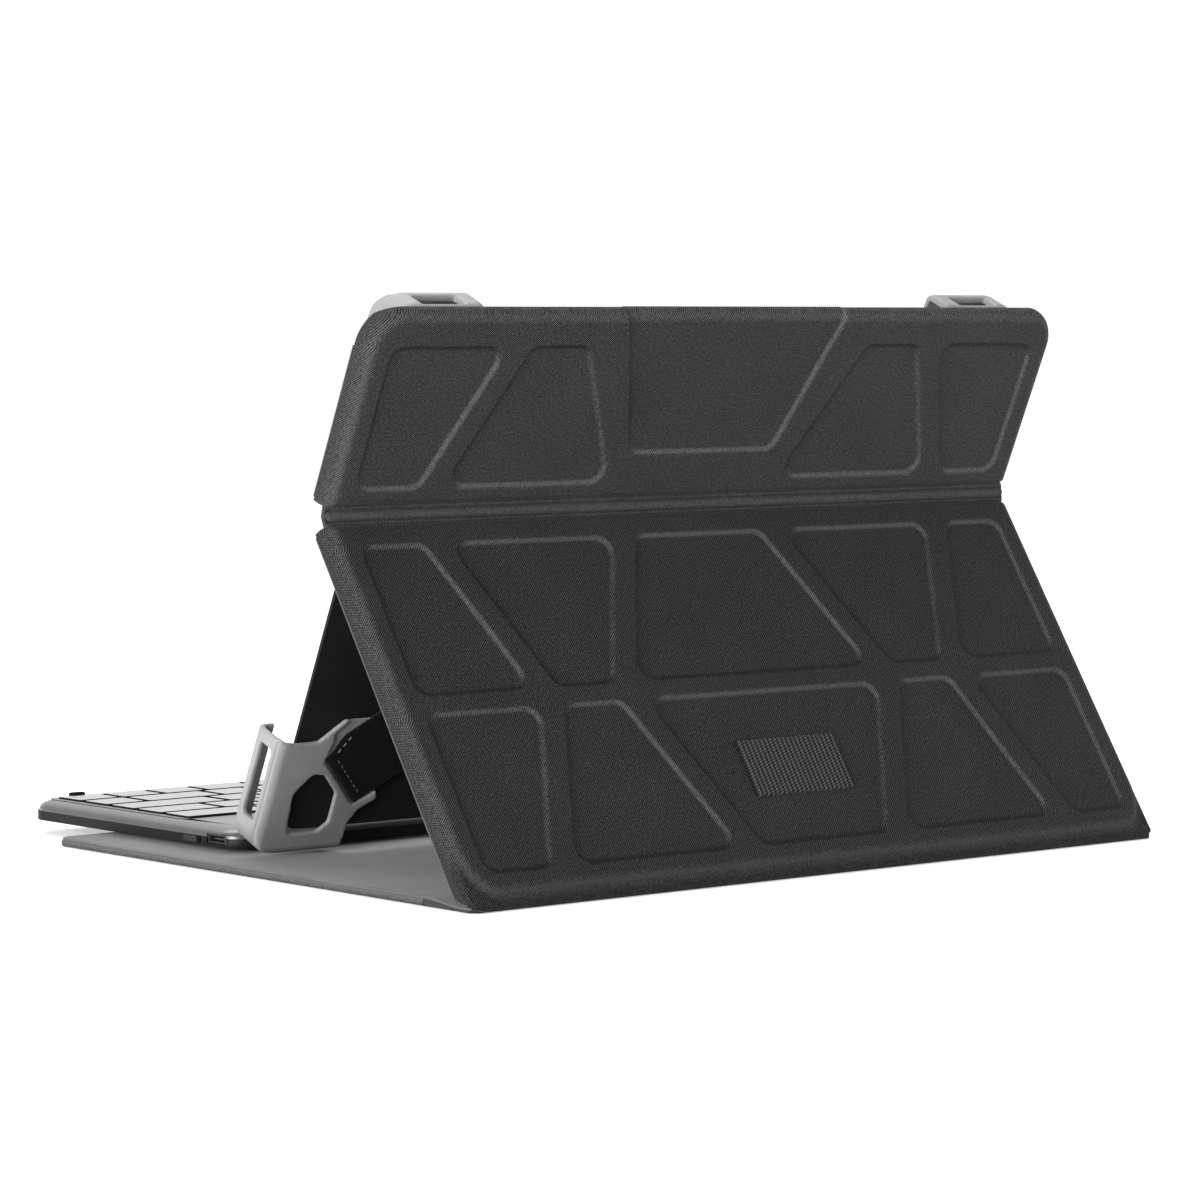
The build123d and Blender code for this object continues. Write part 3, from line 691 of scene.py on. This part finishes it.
# ---------------------------------------------------------------- sheets with a profile
def sweep(name, profile, x_limits, material, end_round=0.0, nap=0.0, columns=60):
    """Closed profile in (y, z) millimetres, drawn along x. Its ends draw in over end_round."""
    profile = np.array(profile, float)
    middle = profile.mean(0)
    steps = np.linspace(x_limits[0], x_limits[1], columns)
    if end_round:
        ends = [x_limits[0] + end_round * (1 - math.cos(a)) for a in np.linspace(0, math.pi / 2, 6)]
        ends += [x_limits[1] - end_round * (1 - math.cos(a)) for a in np.linspace(0, math.pi / 2, 6)]
        inner = steps[(steps > x_limits[0] + end_round) & (steps < x_limits[1] - end_round)]
        steps = np.array(sorted(set(ends) | set(inner)))
    lengths = np.concatenate([[0], np.cumsum(np.linalg.norm(np.diff(profile, axis=0), axis=1))])
    vertices, cloth = [], []
    for x in steps:
        to_end = min(x - x_limits[0], x_limits[1] - x)
        draw = 1.0
        if end_round and to_end < end_round:
            draw = math.sqrt(max(1 - (1 - to_end / end_round) ** 2, 0.0)) * 0.85 + 0.15
        for (y, z), length in zip(profile, lengths):
            vertices.append((x, middle[0] + (y - middle[0]) * draw, middle[1] + (z - middle[1]) * draw))
            # nap: one level of painted light for the whole sheet, lighter above 0 and darker below 0
            cloth.append((x, length, nap))
    faces = ring_faces(len(steps), len(profile))
    return new_object(name, np.array(vertices) * MM, faces, material, cloth)


def round_corners(made, y_end, radius):
    """Rounds a sheet's two corners at y_end, seen from above."""
    for vertex in made.data.vertices:
        x, y = vertex.co.x / MM, vertex.co.y / MM
        beyond = min(max(y - (y_end - radius), 0), radius)
        limit = HALF - radius + math.sqrt(radius ** 2 - beyond ** 2)
        vertex.co.x = min(max(x, -limit), limit) * MM


def panel_point(panel, s, depth):
    """A profile point, (y, z), given in a panel's coordinates."""
    y, z = (panel.world([(0, s, depth)])[0] / MM)[1:]
    return y, z


# the outer fabric's roll at the fold, with a crease above and below it
ROLL_RADIUS = 1.55
ROLL_Y, ROLL_Z = FOLD_Y - 1.2, FOLD_Z - 0.1
roll = [panel_point(LOWER, -3.2, 4.6), panel_point(LOWER, -3.2, 1.9), panel_point(LOWER, -1.6, 1.7)]
for turn in np.radians(np.linspace(-100, 105, 17)):
    roll.append((ROLL_Y + ROLL_RADIUS * math.cos(turn), ROLL_Z + ROLL_RADIUS * math.sin(turn)))
roll += [panel_point(UPPER, 1.6, 1.7), panel_point(UPPER, 3.2, 1.9), panel_point(UPPER, 3.2, 4.6)]
inner_fold = ((panel_point(UPPER, 0, 4.6)[0] + panel_point(LOWER, 0, 4.6)[0]) / 2, FOLD_Z - 0.3)
roll.append(inner_fold)
# nap=0.45: a painted highlight along the fold's roll
fold = sweep("fold_roll", roll, (-HALF + 0.5, HALF - 0.5), TWILL, end_round=1.6, nap=0.45)
piece(fold, "twill_shell", None, "fold_strip")
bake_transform(fold, "lower_panel", "upper_panel",
         start=LOWER.world([(0, -2.4, 2)])[0], end=UPPER.world([(0, 2.4, 2)])[0])

# the lining's strip over the fold
inner = [panel_point(LOWER, -4.0, 5.05), panel_point(LOWER, -1.5, 5.3), inner_fold]
inner += [panel_point(UPPER, 1.5, 5.3), panel_point(UPPER, 4.0, 5.05), panel_point(UPPER, 4.0, 4.6)]
inner += [(inner_fold[0] + 0.6, inner_fold[1]), panel_point(LOWER, -4.0, 4.6)]
inner_strip = sweep("fold_lining", inner, (-HALF + 4.2, HALF - 4.2), MICROFIBRE)
piece(inner_strip, "microfibre")
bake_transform(inner_strip, "lower_panel", "upper_panel",
         start=LOWER.world([(0, -2.4, 5)])[0], end=UPPER.world([(0, 2.4, 5)])[0])


# ---------------------------------------------------------------- front cover and spine
def rounded_outline(half_x, y_front, y_rear, front_radius, rear_radius, arc=10):
    """Outline of a rectangle with round corners, each of them arc steps long."""
    points = []
    for sx, y, radius, turn in ((1, y_rear, rear_radius, 0), (-1, y_rear, rear_radius, 90),
                                (-1, y_front, front_radius, 180), (1, y_front, front_radius, 270)):
        cx = sx * (half_x - radius)
        cy = y - radius if y == y_rear else y + radius
        for a in np.radians(np.linspace(turn, turn + 90, arc + 1)):
            points.append((cx + radius * math.cos(a), cy + radius * math.sin(a)))
    return np.array(points)


def plate(name, outline_at, levels, material, body, slot, *nodes, sheet=False):
    """Closed plate from rings at these levels: (inset, z). For a sheet it only measures the width and
    length, which nothing uses.
    """
    rings = [level_ring(outline_at(inset), z) for inset, z in levels]
    vertices = np.concatenate(rings)
    cloth = vertices.copy()
    cloth[:, 1] += cloth[:, 2]
    made = new_object(name, vertices * MM, ring_faces(len(rings), len(rings[0])), material, cloth)
    smooth_by_angle(made, 40)
    if sheet:
        width, length = np.ptp(outline_at(0), axis=0) * MM
    return piece(made, slot, body, *nodes)


COVER_LOW, COVER_HIGH = node_box("cover_lining")
COVER_FRONT, COVER_REAR = COVER_LOW[1], COVER_HIGH[1]
COVER_TOP = COVER_HIGH[2]
COVER_RADIUS = 4.0


def cover_outline(inset):
    front_radius = max(COVER_RADIUS - inset, 0.8)
    return rounded_outline(HALF - inset, COVER_FRONT + inset, COVER_REAR - inset * 0.1, front_radius, 0.3)


plate("cover_sleeve", cover_outline,
      [(0.9, 0.0), (0.35, 0.08), (0.06, 0.4), (0.0, 0.95), (0.05, 1.55), (0.3, 1.95), (0.7, 2.12),
       (1.2, 2.12)],
      TWILL, "front_cover", "twill_shell", "cover_outer_skin", "cover_board", "cover_magnets")
plate("cover_inner_lining", cover_outline,
      [(1.0, 2.0), (0.45, 2.1), (0.42, 2.4), (0.7, 2.68), (1.3, COVER_TOP), (3.0, COVER_TOP)],
      MICROFIBRE, "front_cover", "microfibre", "cover_lining", sheet=True)

SPINE_END = node_box("spine_skin")[1][1]
SPINE_CORNER = 4.5  # radius of the fabric's corners at the spine and the foot, seen from above
HEM_RUN = 16.0  # the cloth thins over this length behind the cover


def hem(y, high, low):
    """Height of the cloth behind the cover: it leaves the cover's thickness in a soft S."""
    return high + (low - high) * step((y - COVER_REAR - 0.5) / HEM_RUN)


spine_ys = list(np.linspace(COVER_REAR - 0.4, SPINE_END - 0.6, 28))
lining_ys = spine_ys[:-2]  # the lining stops short of the fabric
spine_profile = [(y, 0.0) for y in spine_ys] + [(y, hem(y, 2.05, 0.62)) for y in spine_ys[::-1]]
# nap=0.5 makes the spine's fabric lighter than the panels' faces
spine = sweep("spine_fabric", spine_profile, (-HALF + 0.05, HALF - 0.05), TWILL, end_round=0.5, nap=0.5)
lining_profile = [(y, hem(y, 1.95, 0.55)) for y in lining_ys]
lining_profile += [(y, hem(y, COVER_TOP - 0.05, 1.3)) for y in lining_ys[::-1]]
spine_top = sweep("spine_inner_lining", lining_profile, (-HALF + 0.45, HALF - 0.45), MICROFIBRE,
                  end_round=0.4)
for made, profile, slot, node in (
    (spine, spine_profile, "twill_shell", "spine_skin"),
    (spine_top, lining_profile, "microfibre", "spine_lining"),
):
    round_corners(made, SPINE_END, SPINE_CORNER)
    piece(made, slot, None, node)
    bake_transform(made, "front_cover", "spine",
             start=(0, (COVER_REAR - 0.3) * MM, 0), end=(0, (COVER_REAR + 1.6) * MM, 0))


# the outer fabric wraps from the lower panel's foot to the spine
def foot_point(above, inward):
    """Profile point above the lower panel's bottom edge, and inward of the fabric there."""
    return panel_point(LOWER, LOWER_END + above, HEM_DEPTH + inward)


wrap_profile = [foot_point(2.0, -0.08), foot_point(1.4, -0.14)]
wrap_profile += [(FOOT_Y - 1.5, 1.1), (FOOT_Y - 1.15, 0.6), (FOOT_Y - 1.3, 0.12), (FOOT_Y - 2.1, 0.02)]
wrap_profile += [(FOOT_Y - 9.5, 0.02), (FOOT_Y - 9.5, 1.2), (FOOT_Y - 6.0, 1.4)]
wrap_profile += [foot_point(3.4, 1.9), foot_point(3.0, 0.7)]
# nap=-0.2 makes the foot wrap darker
wrap = sweep("foot_wrap", wrap_profile, (-HALF + 1.4, HALF - 1.4), SHADED_TWILL, end_round=0.3, nap=-0.2)
round_corners(wrap, FOOT_Y - 1.15, SPINE_CORNER)
piece(wrap, "twill_shell")
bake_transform(wrap, "spine", "lower_panel",
         start=(0, (FOOT_Y - 2.2) * MM, 0.0006), end=(0, (FOOT_Y - 2.0) * MM, 0.0026))


# ---------------------------------------------------------------- woven tab and stitching
def thread(name, runs, radius, material, body, slot):
    """Thin threads along runs of world points."""
    curve = bpy.data.curves.new(name, "CURVE")
    curve.dimensions = "3D"
    curve.bevel_depth = radius * MM
    curve.bevel_resolution = 2
    curve.resolution_u = 2
    for run in runs:
        spline = curve.splines.new("POLY")
        spline.points.add(len(run) - 1)
        for target, place in zip(spline.points, run):
            target.co = (*place, 1)
    curve.materials.append(material)
    made = bpy.data.objects.new(name, curve)
    bpy.context.scene.collection.objects.link(made)
    return piece(made, slot, body)


def stitches(start, end, length=1.2, gap=1.2, sink=0.25, steps=5):
    """Arched stitches in a line, as lists of points. Their ends sink into the cloth."""
    start, end = np.array(start, float), np.array(end, float)
    run = np.linalg.norm(end - start)
    direction = (end - start) / run
    count = max(1, int((run + gap) / (length + gap)))
    made = []
    for i in range(count):
        first = start + direction * i * (length + gap)
        arch = []
        for k in range(steps):
            t = k / (steps - 1)
            point = first + direction * length * t
            arch.append((point[0], point[1], point[2] + sink * (2 * t - 1) ** 2))
        made.append(arch)
    return made


def woven_tab():
    """Ribbed webbing tab sewn into its shape: ribs across its width, ends folded under."""
    low, high = -99.4, -81.0
    x, s = np.meshgrid(np.linspace(-TAB_HALF, TAB_HALF, TAB_RIBS * 8 + 1), np.linspace(low, high, 61))
    ribs_passed = (x + TAB_HALF) / (2 * TAB_HALF) * TAB_RIBS
    rib = 0.2 * np.abs(np.sin(np.pi * ribs_passed))
    wave = 0.05 * np.sin(2 * np.pi * s / 0.95 + np.round(ribs_passed) * np.pi)
    to_end = TAB_HALF - np.abs(x)
    to_side = np.minimum(s - low, high - s)
    hem_ridge = 0.18 * np.exp(-((to_end - 1.0) / 0.5) ** 2)
    roll_over = 0.6 * (1 - np.sqrt(1 - np.clip(1 - to_end / 0.7, 0, 1) ** 2))
    droop = 0.4 * (1 - np.sqrt(1 - np.clip(1 - to_side / 0.5, 0, 1) ** 2))
    top = PRESS_DEPTH - 0.75 - rib - wave - hem_ridge + roll_over + droop
    above = np.stack([x.ravel(), s.ravel(), top.ravel()], 1)
    below = np.stack([x.ravel(), s.ravel(), np.full(x.size, PRESS_DEPTH + 0.25)], 1)
    points = LOWER.world(np.concatenate([above, below]))
    cloth = np.stack([(x + TAB_HALF).ravel(), s.ravel(), np.zeros(x.size)], 1)
    faces = slab_faces(np.arange(x.size).reshape(x.shape))
    made = new_object("woven_tab", points, faces, WEBBING, np.concatenate([cloth, cloth]))
    return piece(made, "woven_webbing", "lower_panel", "woven_patch")


woven_tab()

# a corded edge along the inside of each back panel's lips
for label, panel, body, low, high in (("upper", UPPER, "upper_panel", 3.0, 50.0),
                                      ("lower", LOWER, "lower_panel", LOWER_END + 5.4, -3.0)):
    runs = []
    for side in (1, -1):
        x = side * (HALF - 0.12)
        runs.append([tuple(panel.world([(x, s, LIP_DEPTH - 0.2)])[0]) for s in np.linspace(low, high, 60)])
    thread(f"{label}_edge_piping", runs, 0.22, THREAD, body, "twill_shell")


# ---------------------------------------------------------------- grips
GRIP_BODIES = [f"grip_{end}_{side}" for end in ("top", "bottom") for side in ("right", "left")]


def soft_copy(node, voxel, passes):
    """The CAD node's shape with its edges softened, as one closed mesh."""
    made = bpy.data.objects.new(node + "_soft", NODES[node].data.copy())
    bpy.context.scene.collection.objects.link(made)
    baked(made, ("WELD", {"merge_threshold": 1e-5}),
          ("REMESH", {"mode": "VOXEL", "voxel_size": voxel * MM}),
          ("SMOOTH", {"factor": 0.5, "iterations": passes}))
    made.data.materials.clear()
    made.data.polygons.foreach_set("use_smooth", [True] * len(made.data.polygons))
    return made


def round_off(u, v, radius):
    """Draws the corner at u = v = 0 onto a circle, with everything behind it."""
    pu, pv = radius - u, radius - v
    near = (pu > 0) & (pv > 0)
    share = np.where(near, np.maximum(pu, pv) / np.maximum(np.hypot(pu, pv), 1e-9), 1)
    return np.where(near, radius - pu * share, u), np.where(near, radius - pv * share, v)


GRIP_BACK, GRIP_FRONT = 5.9, 18.0  # depths of a grip's two faces
BACK_ROUND, FRONT_ROUND = (4.2, 3.4), (3.0, 2.6)  # radii of its edges, at its side and at its end


def rounded_grip(made, side, end):
    """Rounds the long edges where the grip turns from its two faces to its side and its end."""
    count = len(made.data.vertices)
    points = np.empty(count * 3)
    made.data.vertices.foreach_get("co", points)
    local = (points.reshape(-1, 3) / MM - (0, FOLD_Y, FOLD_Z)) @ UPPER.axes.T
    a = GRIP_X - side * local[:, 0]
    b = GRIP_TOP - local[:, 1] if end > 0 else local[:, 1] - GRIP_BOTTOM
    depth = local[:, 2] - GRIP_BACK
    a, depth = round_off(a, depth, BACK_ROUND[0])
    b, depth = round_off(b, depth, BACK_ROUND[1])
    front = GRIP_FRONT - GRIP_BACK - depth
    a, front = round_off(a, front, FRONT_ROUND[0])
    b, front = round_off(b, front, FRONT_ROUND[1])
    depth = GRIP_FRONT - GRIP_BACK - front
    local[:, 0] = side * (GRIP_X - a)
    local[:, 1] = GRIP_TOP - b if end > 0 else GRIP_BOTTOM + b
    local[:, 2] = depth + GRIP_BACK
    made.data.vertices.foreach_set("co", UPPER.world(local).ravel())
    made.data.update()


for body in GRIP_BODIES:
    grip = soft_copy(body, 0.42, 12)
    rounded_grip(grip, 1 if body.endswith("right") else -1, 1 if "_top_" in body else -1)
    grip.data.materials.append(SILICONE)
    piece(grip, "silicone", body, body)


# ---------------------------------------------------------------- straps
# grip coordinates: the ends of the bar that a strap is sewn round, and the strap's outer corner
BAR_LOW, BAR_HIGH, STRAP_CORNER = np.array([(34.4, 16.3), (19.9, 31.7), (21.7, 37.8)])
TABLET_MIDDLE = TABLET_BOTTOM + TABLET_HEIGHT / 2
STRAP_DEPTH = (5.85, 6.75)
STRAP_CORE = 6.3
HUB_REACH = 14  # from the hub's middle to a strap's end
CORNER_RUN = 9.0  # a strap reaches its full width over this length


def corner_point(a, b, depth, side, end):
    """Grip coordinates to world. a runs inward from the side, b inward from the end wall."""
    x = side * (GRIP_X - a)
    s = GRIP_TOP - b if end > 0 else GRIP_BOTTOM + b
    return UPPER.world([(x, s, depth)])[0]


def strap(side, end, body):
    """Elastic strap from a grip's slanting bar to the hub, and the stitches that hold it."""
    middle = (BAR_LOW + BAR_HIGH) / 2
    run = np.array((GRIP_X, TABLET_MIDDLE - GRIP_BOTTOM)) - middle
    run_dir = run / np.linalg.norm(run)
    length = float(np.linalg.norm(run)) - HUB_REACH
    across_steps, along_steps = 15, 70
    top, cloth = [], []
    for i in range(along_steps + 1):
        travel = length * (i / along_steps)
        ease = step(travel / CORNER_RUN)
        low = BAR_LOW + run_dir * travel
        high = BAR_HIGH + (STRAP_CORNER - BAR_HIGH) * ease + run_dir * max(travel - 4.0 * ease, 0)
        for j in range(across_steps):
            v = j / (across_steps - 1)
            point = low + (high - low) * v
            rim = min(v, 1 - v) * np.linalg.norm(high - low)
            crown = 0.16 * (1 - math.sqrt(max(1 - max(1 - rim / 0.6, 0) ** 2, 0)))
            top.append((*point, STRAP_DEPTH[0] + crown))
            cloth.append((travel, v * 22, 0))
    bottom = [(a, b, STRAP_DEPTH[1]) for a, b, _ in top]
    vertices = [corner_point(a, b, depth, side, end) for a, b, depth in top + bottom]
    faces = slab_faces(np.arange(len(top)).reshape(along_steps + 1, across_steps))
    name = body.replace("grip", "strap")
    made = new_object(name + "_elastic", vertices, faces, ELASTIC, cloth + cloth)
    piece(made, "elastic", None, name)
    first = corner_point(*middle, STRAP_CORE, side, end)
    last = corner_point(*(middle + run_dir * length * 0.75), STRAP_CORE, side, end)
    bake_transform(made, body, "upper_panel", start=first, end=last)
    width = float(np.linalg.norm(BAR_HIGH - BAR_LOW))

    across = (BAR_HIGH - BAR_LOW) / width
    seam = STRAP_DEPTH[0] - 0.16
    inner_corner = BAR_LOW + across * 3.0 + run_dir * 3.2
    outer_corner = BAR_HIGH - across * 0.6 + run_dir * 3.2
    side_start = outer_corner + run_dir * 1.4 + across
    side_end = outer_corner + run_dir * 9 + across * 4
    lines = stitches((*inner_corner, seam), (*outer_corner, seam))
    lines += stitches((*side_start, seam), (*side_end, seam))
    runs = [[tuple(corner_point(*point, side, end)) for point in line] for line in lines]
    thread(name + "_stitches", runs, 0.17, DARK_THREAD, body, "elastic")


for body in GRIP_BODIES:
    strap(1 if body.endswith("right") else -1, 1 if "_top_" in body else -1, body)


# ---------------------------------------------------------------- materials of the CAD nodes that stay
def finish_node(node, material, bevel):
    """Gives a CAD node its material, and its edges a bevel of this width."""
    target = NODES[node]
    target.data.materials.clear()
    target.data.materials.append(material)
    if bevel:
        weld = target.modifiers.new("weld", "WELD")
        weld.merge_threshold = 1e-6
        flat = target.modifiers.new("planar", "DECIMATE")
        flat.decimate_type = "DISSOLVE"
        flat.angle_limit = math.radians(1.5)
        rounding = target.modifiers.new("edge", "BEVEL")
        rounding.width = bevel * MM
        rounding.segments = 2
        rounding.limit_method = "ANGLE"
        rounding.angle_limit = math.radians(30)
        rounding.harden_normals = True


for node, material, bevel in (
    ("upper_lining", MICROFIBRE, 0), ("lower_lining", MICROFIBRE, 0), ("bond_pad", TRAY_BLACK, 0),
    ("tray_board", TRAY_BLACK, 0.2), ("tray_lining", BLACK_NAP, 0.15), ("strap_hub", BLACK_NAP, 0.2),
    ("bottom_case", CASE_SIDE, 0.3), ("case_screws", STEEL, 0.08),
    ("keyboard_feet", RUBBER, 0.3), ("dock_magnets", NICKEL, 0), ("circuit_board", CIRCUIT, 0),
    ("battery", CELL, 0), ("usb_socket", SOCKET, 0.06), ("power_switch", SWITCH_BLACK, 0.08),
    ("status_lenses", LENS, 0.05), ("dome_sheet", DOME, 0), ("key_plate", STEEL, 0),
    ("membrane_circuit", FILM, 0),
):
    finish_node(node, material, bevel)
for node in NODES:
    if node.startswith(("key_", "keys_row")) and node != "key_plate":
        finish_node(node, KEY_BLACK, 0.12)


# ---------------------------------------------------------------- keyboard deck
DECK_LOW, DECK_HIGH = node_box("top_frame")
CASE_LOW, CASE_HIGH = node_box("bottom_case")
ROW_LOW, ROW_HIGH = node_box("key_space")[0], node_box("key_backspace")[1]
KEY_MARGIN = 1.5  # from the outermost keys to the well's sides
WELL_FLOOR = node_box("dome_sheet")[0][2] + 0.35
CASE_RADII, WELL_RADII = (10.0, 8.0), (3.0, 3.0)  # at the front and at the rear
BEVEL = 7.0
DECK_RISE = 0.9  # the deck's crest above the flat of the CAD frame


def deck_ring(share, inset, z):
    """One ring of the deck, from the case's outline at share 0 to the key well's at share 1."""
    outer = np.array((CASE_HIGH[0], CASE_LOW[1], CASE_HIGH[1], *CASE_RADII))
    well = np.array((ROW_HIGH[0] + KEY_MARGIN, ROW_LOW[1] - KEY_MARGIN, ROW_HIGH[1] + KEY_MARGIN,
                     *WELL_RADII))
    half_x, y_front, y_rear, front_radius, rear_radius = outer + (well - outer) * share
    outline = rounded_outline(half_x - inset, y_front + inset, y_rear - inset,
                              max(front_radius - inset, 1.0), max(rear_radius - inset, 1.0), 14)
    return level_ring(outline, z)


def cut(made, box, clearance):
    """Takes a box-shaped opening out of a piece, running out through its +x side."""
    low, high = (np.array(c) for c in box)
    low, high = low - clearance * MM, high + clearance * MM
    high[0] += 5 * MM
    corners = [(x, y, z) for x in (low[0], high[0]) for y in (low[1], high[1]) for z in (low[2], high[2])]
    sides = [(0, 1, 3, 2), (4, 6, 7, 5), (0, 4, 5, 1), (2, 3, 7, 6), (0, 2, 6, 4), (1, 5, 7, 3)]
    tool = new_object("opening", corners, sides, CASE_BLACK)
    baked(made, ("BOOLEAN", {"object": tool, "operation": "DIFFERENCE", "solver": "EXACT"}))
    bpy.data.objects.remove(tool)


def keyboard_deck():
    """Deck whose edge falls to the case in a convex curve, with a sunk well for the keys."""
    foot, crest = CASE_HIGH[2] + 0.12, DECK_HIGH[2] + DECK_RISE
    rings = [deck_ring(0, 0.25, CASE_HIGH[2] - 0.15), deck_ring(0, 0.0, foot)]
    for turn in np.radians(np.arange(12, 91, 6)):
        inset = BEVEL * (1 - math.cos(turn)) ** 1.15
        rings.append(deck_ring(0, inset, foot + (crest - foot) * math.sin(turn)))
    rings += [deck_ring(1, -1.2, crest), deck_ring(1, -0.55, crest - 0.05), deck_ring(1, -0.2, crest - 0.2),
              deck_ring(1, 0.0, crest - 0.6), deck_ring(1, 0.0, WELL_FLOOR)]
    faces = ring_faces(len(rings), len(rings[0]))
    made = new_object("keyboard_deck", np.concatenate(rings) * MM, faces, CASE_BLACK)
    cut(made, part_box("usb_socket"), 0.2)
    smooth_by_angle(made, 40)
    return piece(made, "case_plastic", "keyboard", "top_frame")


def deck_bumper(label, x):
    """Rubber pad that stands on the deck, just behind its front edge."""
    centre = (x, DECK_LOW[1] + 3.4)
    outline = rounded_outline(2.8, -1.2, 1.2, 0.9, 0.9, 5)
    top = DECK_HIGH[2]
    levels = ((1.0, top - 0.6), (1.0, top + 1.6), (0.93, top + 1.85), (0.8, top + 1.95))
    rings = [level_ring(outline * share + centre, z) for share, z in levels]
    faces = ring_faces(len(rings), len(outline))
    made = new_object(f"deck_bumper_{label}", np.concatenate(rings) * MM, faces, RUBBER)
    smooth_by_angle(made)
    return piece(made, "foot_rubber", "keyboard")


keyboard_deck()
deck_bumper("right", 106.2)
deck_bumper("left", -106.2)


# ---------------------------------------------------------------- floor, light and camera
def area_light(name, place, target, size, power):
    light = bpy.data.lights.new(name, "AREA")
    light.shape = "RECTANGLE"
    light.size, light.size_y = size
    light.energy = power
    made = bpy.data.objects.new(name, light)
    bpy.context.scene.collection.objects.link(made)
    made.location = place
    made.rotation_euler = (Vector(target) - Vector(place)).to_track_quat("-Z", "Y").to_euler()


floor_mesh = bpy.data.meshes.new("floor")
reach = 30.0  # metres
floor_mesh.from_pydata([(-reach, -reach, 0), (reach, -reach, 0), (reach, reach, 0), (-reach, reach, 0)], [],
                       [(0, 1, 2, 3)])
floor = bpy.data.objects.new("floor", floor_mesh)
floor.location.z = -0.0002
bpy.context.scene.collection.objects.link(floor)
pale = Graph("pale_floor", Roughness=0.9, Specular_IOR_Level=0.1, Emission_Color=(1, 1, 1, 1),
             Emission_Strength=0.42)
floor_mesh.materials.append(pale.done((0.86, 0.86, 0.86, 1)))

# white studio walls: brightest behind the object, dimmer round the rest of the room
BACKDROP = (-0.647, -0.762, 0.0)
world = bpy.data.worlds.new("studio")
bpy.context.scene.world = world
world.use_nodes = True
tree = world.node_tree
coordinates = tree.nodes.new("ShaderNodeTexCoord")
facing = tree.nodes.new("ShaderNodeVectorMath")
facing.operation = "DOT_PRODUCT"
facing.inputs[1].default_value = BACKDROP
tree.links.new(coordinates.outputs["Generated"], facing.inputs[0])
level = tree.nodes.new("ShaderNodeMapRange")
level.interpolation_type = "SMOOTHSTEP"
for key, value in (("From Min", -0.2), ("From Max", 0.9), ("To Min", 0.5), ("To Max", 1.08)):
    level.inputs[key].default_value = value
tree.links.new(facing.outputs["Value"], level.inputs["Value"])
tree.links.new(level.outputs["Result"], tree.nodes["Background"].inputs["Strength"])
tree.nodes["Background"].inputs["Color"].default_value = (1, 1, 1, 1)

TARGET = (0, 0.02, 0.08)
area_light("overhead", (-0.2, -0.62, 1.35), TARGET, (1.4, 0.8), 17)
area_light("left_key", (1.75, 0.55, 0.35), TARGET, (0.9, 0.8), 48)
area_light("right_fill", (-1.4, 1.3, 0.4), TARGET, (0.9, 0.8), 8)

camera_data = bpy.data.cameras.new("camera")
camera = bpy.data.objects.new("camera", camera_data)
bpy.context.scene.collection.objects.link(camera)
CAMERA_AZIMUTH, CAMERA_PITCH = math.radians(40.32), math.radians(3.68)
camera.location = (0.8846, 1.0015 + FOLD_Y * MM, 0.1633)
look = Vector((-math.sin(CAMERA_AZIMUTH) * math.cos(CAMERA_PITCH),
               -math.cos(CAMERA_AZIMUTH) * math.cos(CAMERA_PITCH), -math.sin(CAMERA_PITCH)))
camera.rotation_euler = look.to_track_quat("-Z", "Y").to_euler()
camera_data.sensor_width = 36
camera_data.lens = 131.8
camera_data.clip_start = 0.01
camera_data.clip_end = 200
bpy.context.scene.camera = camera
bpy.context.scene.view_settings.view_transform = "Standard"
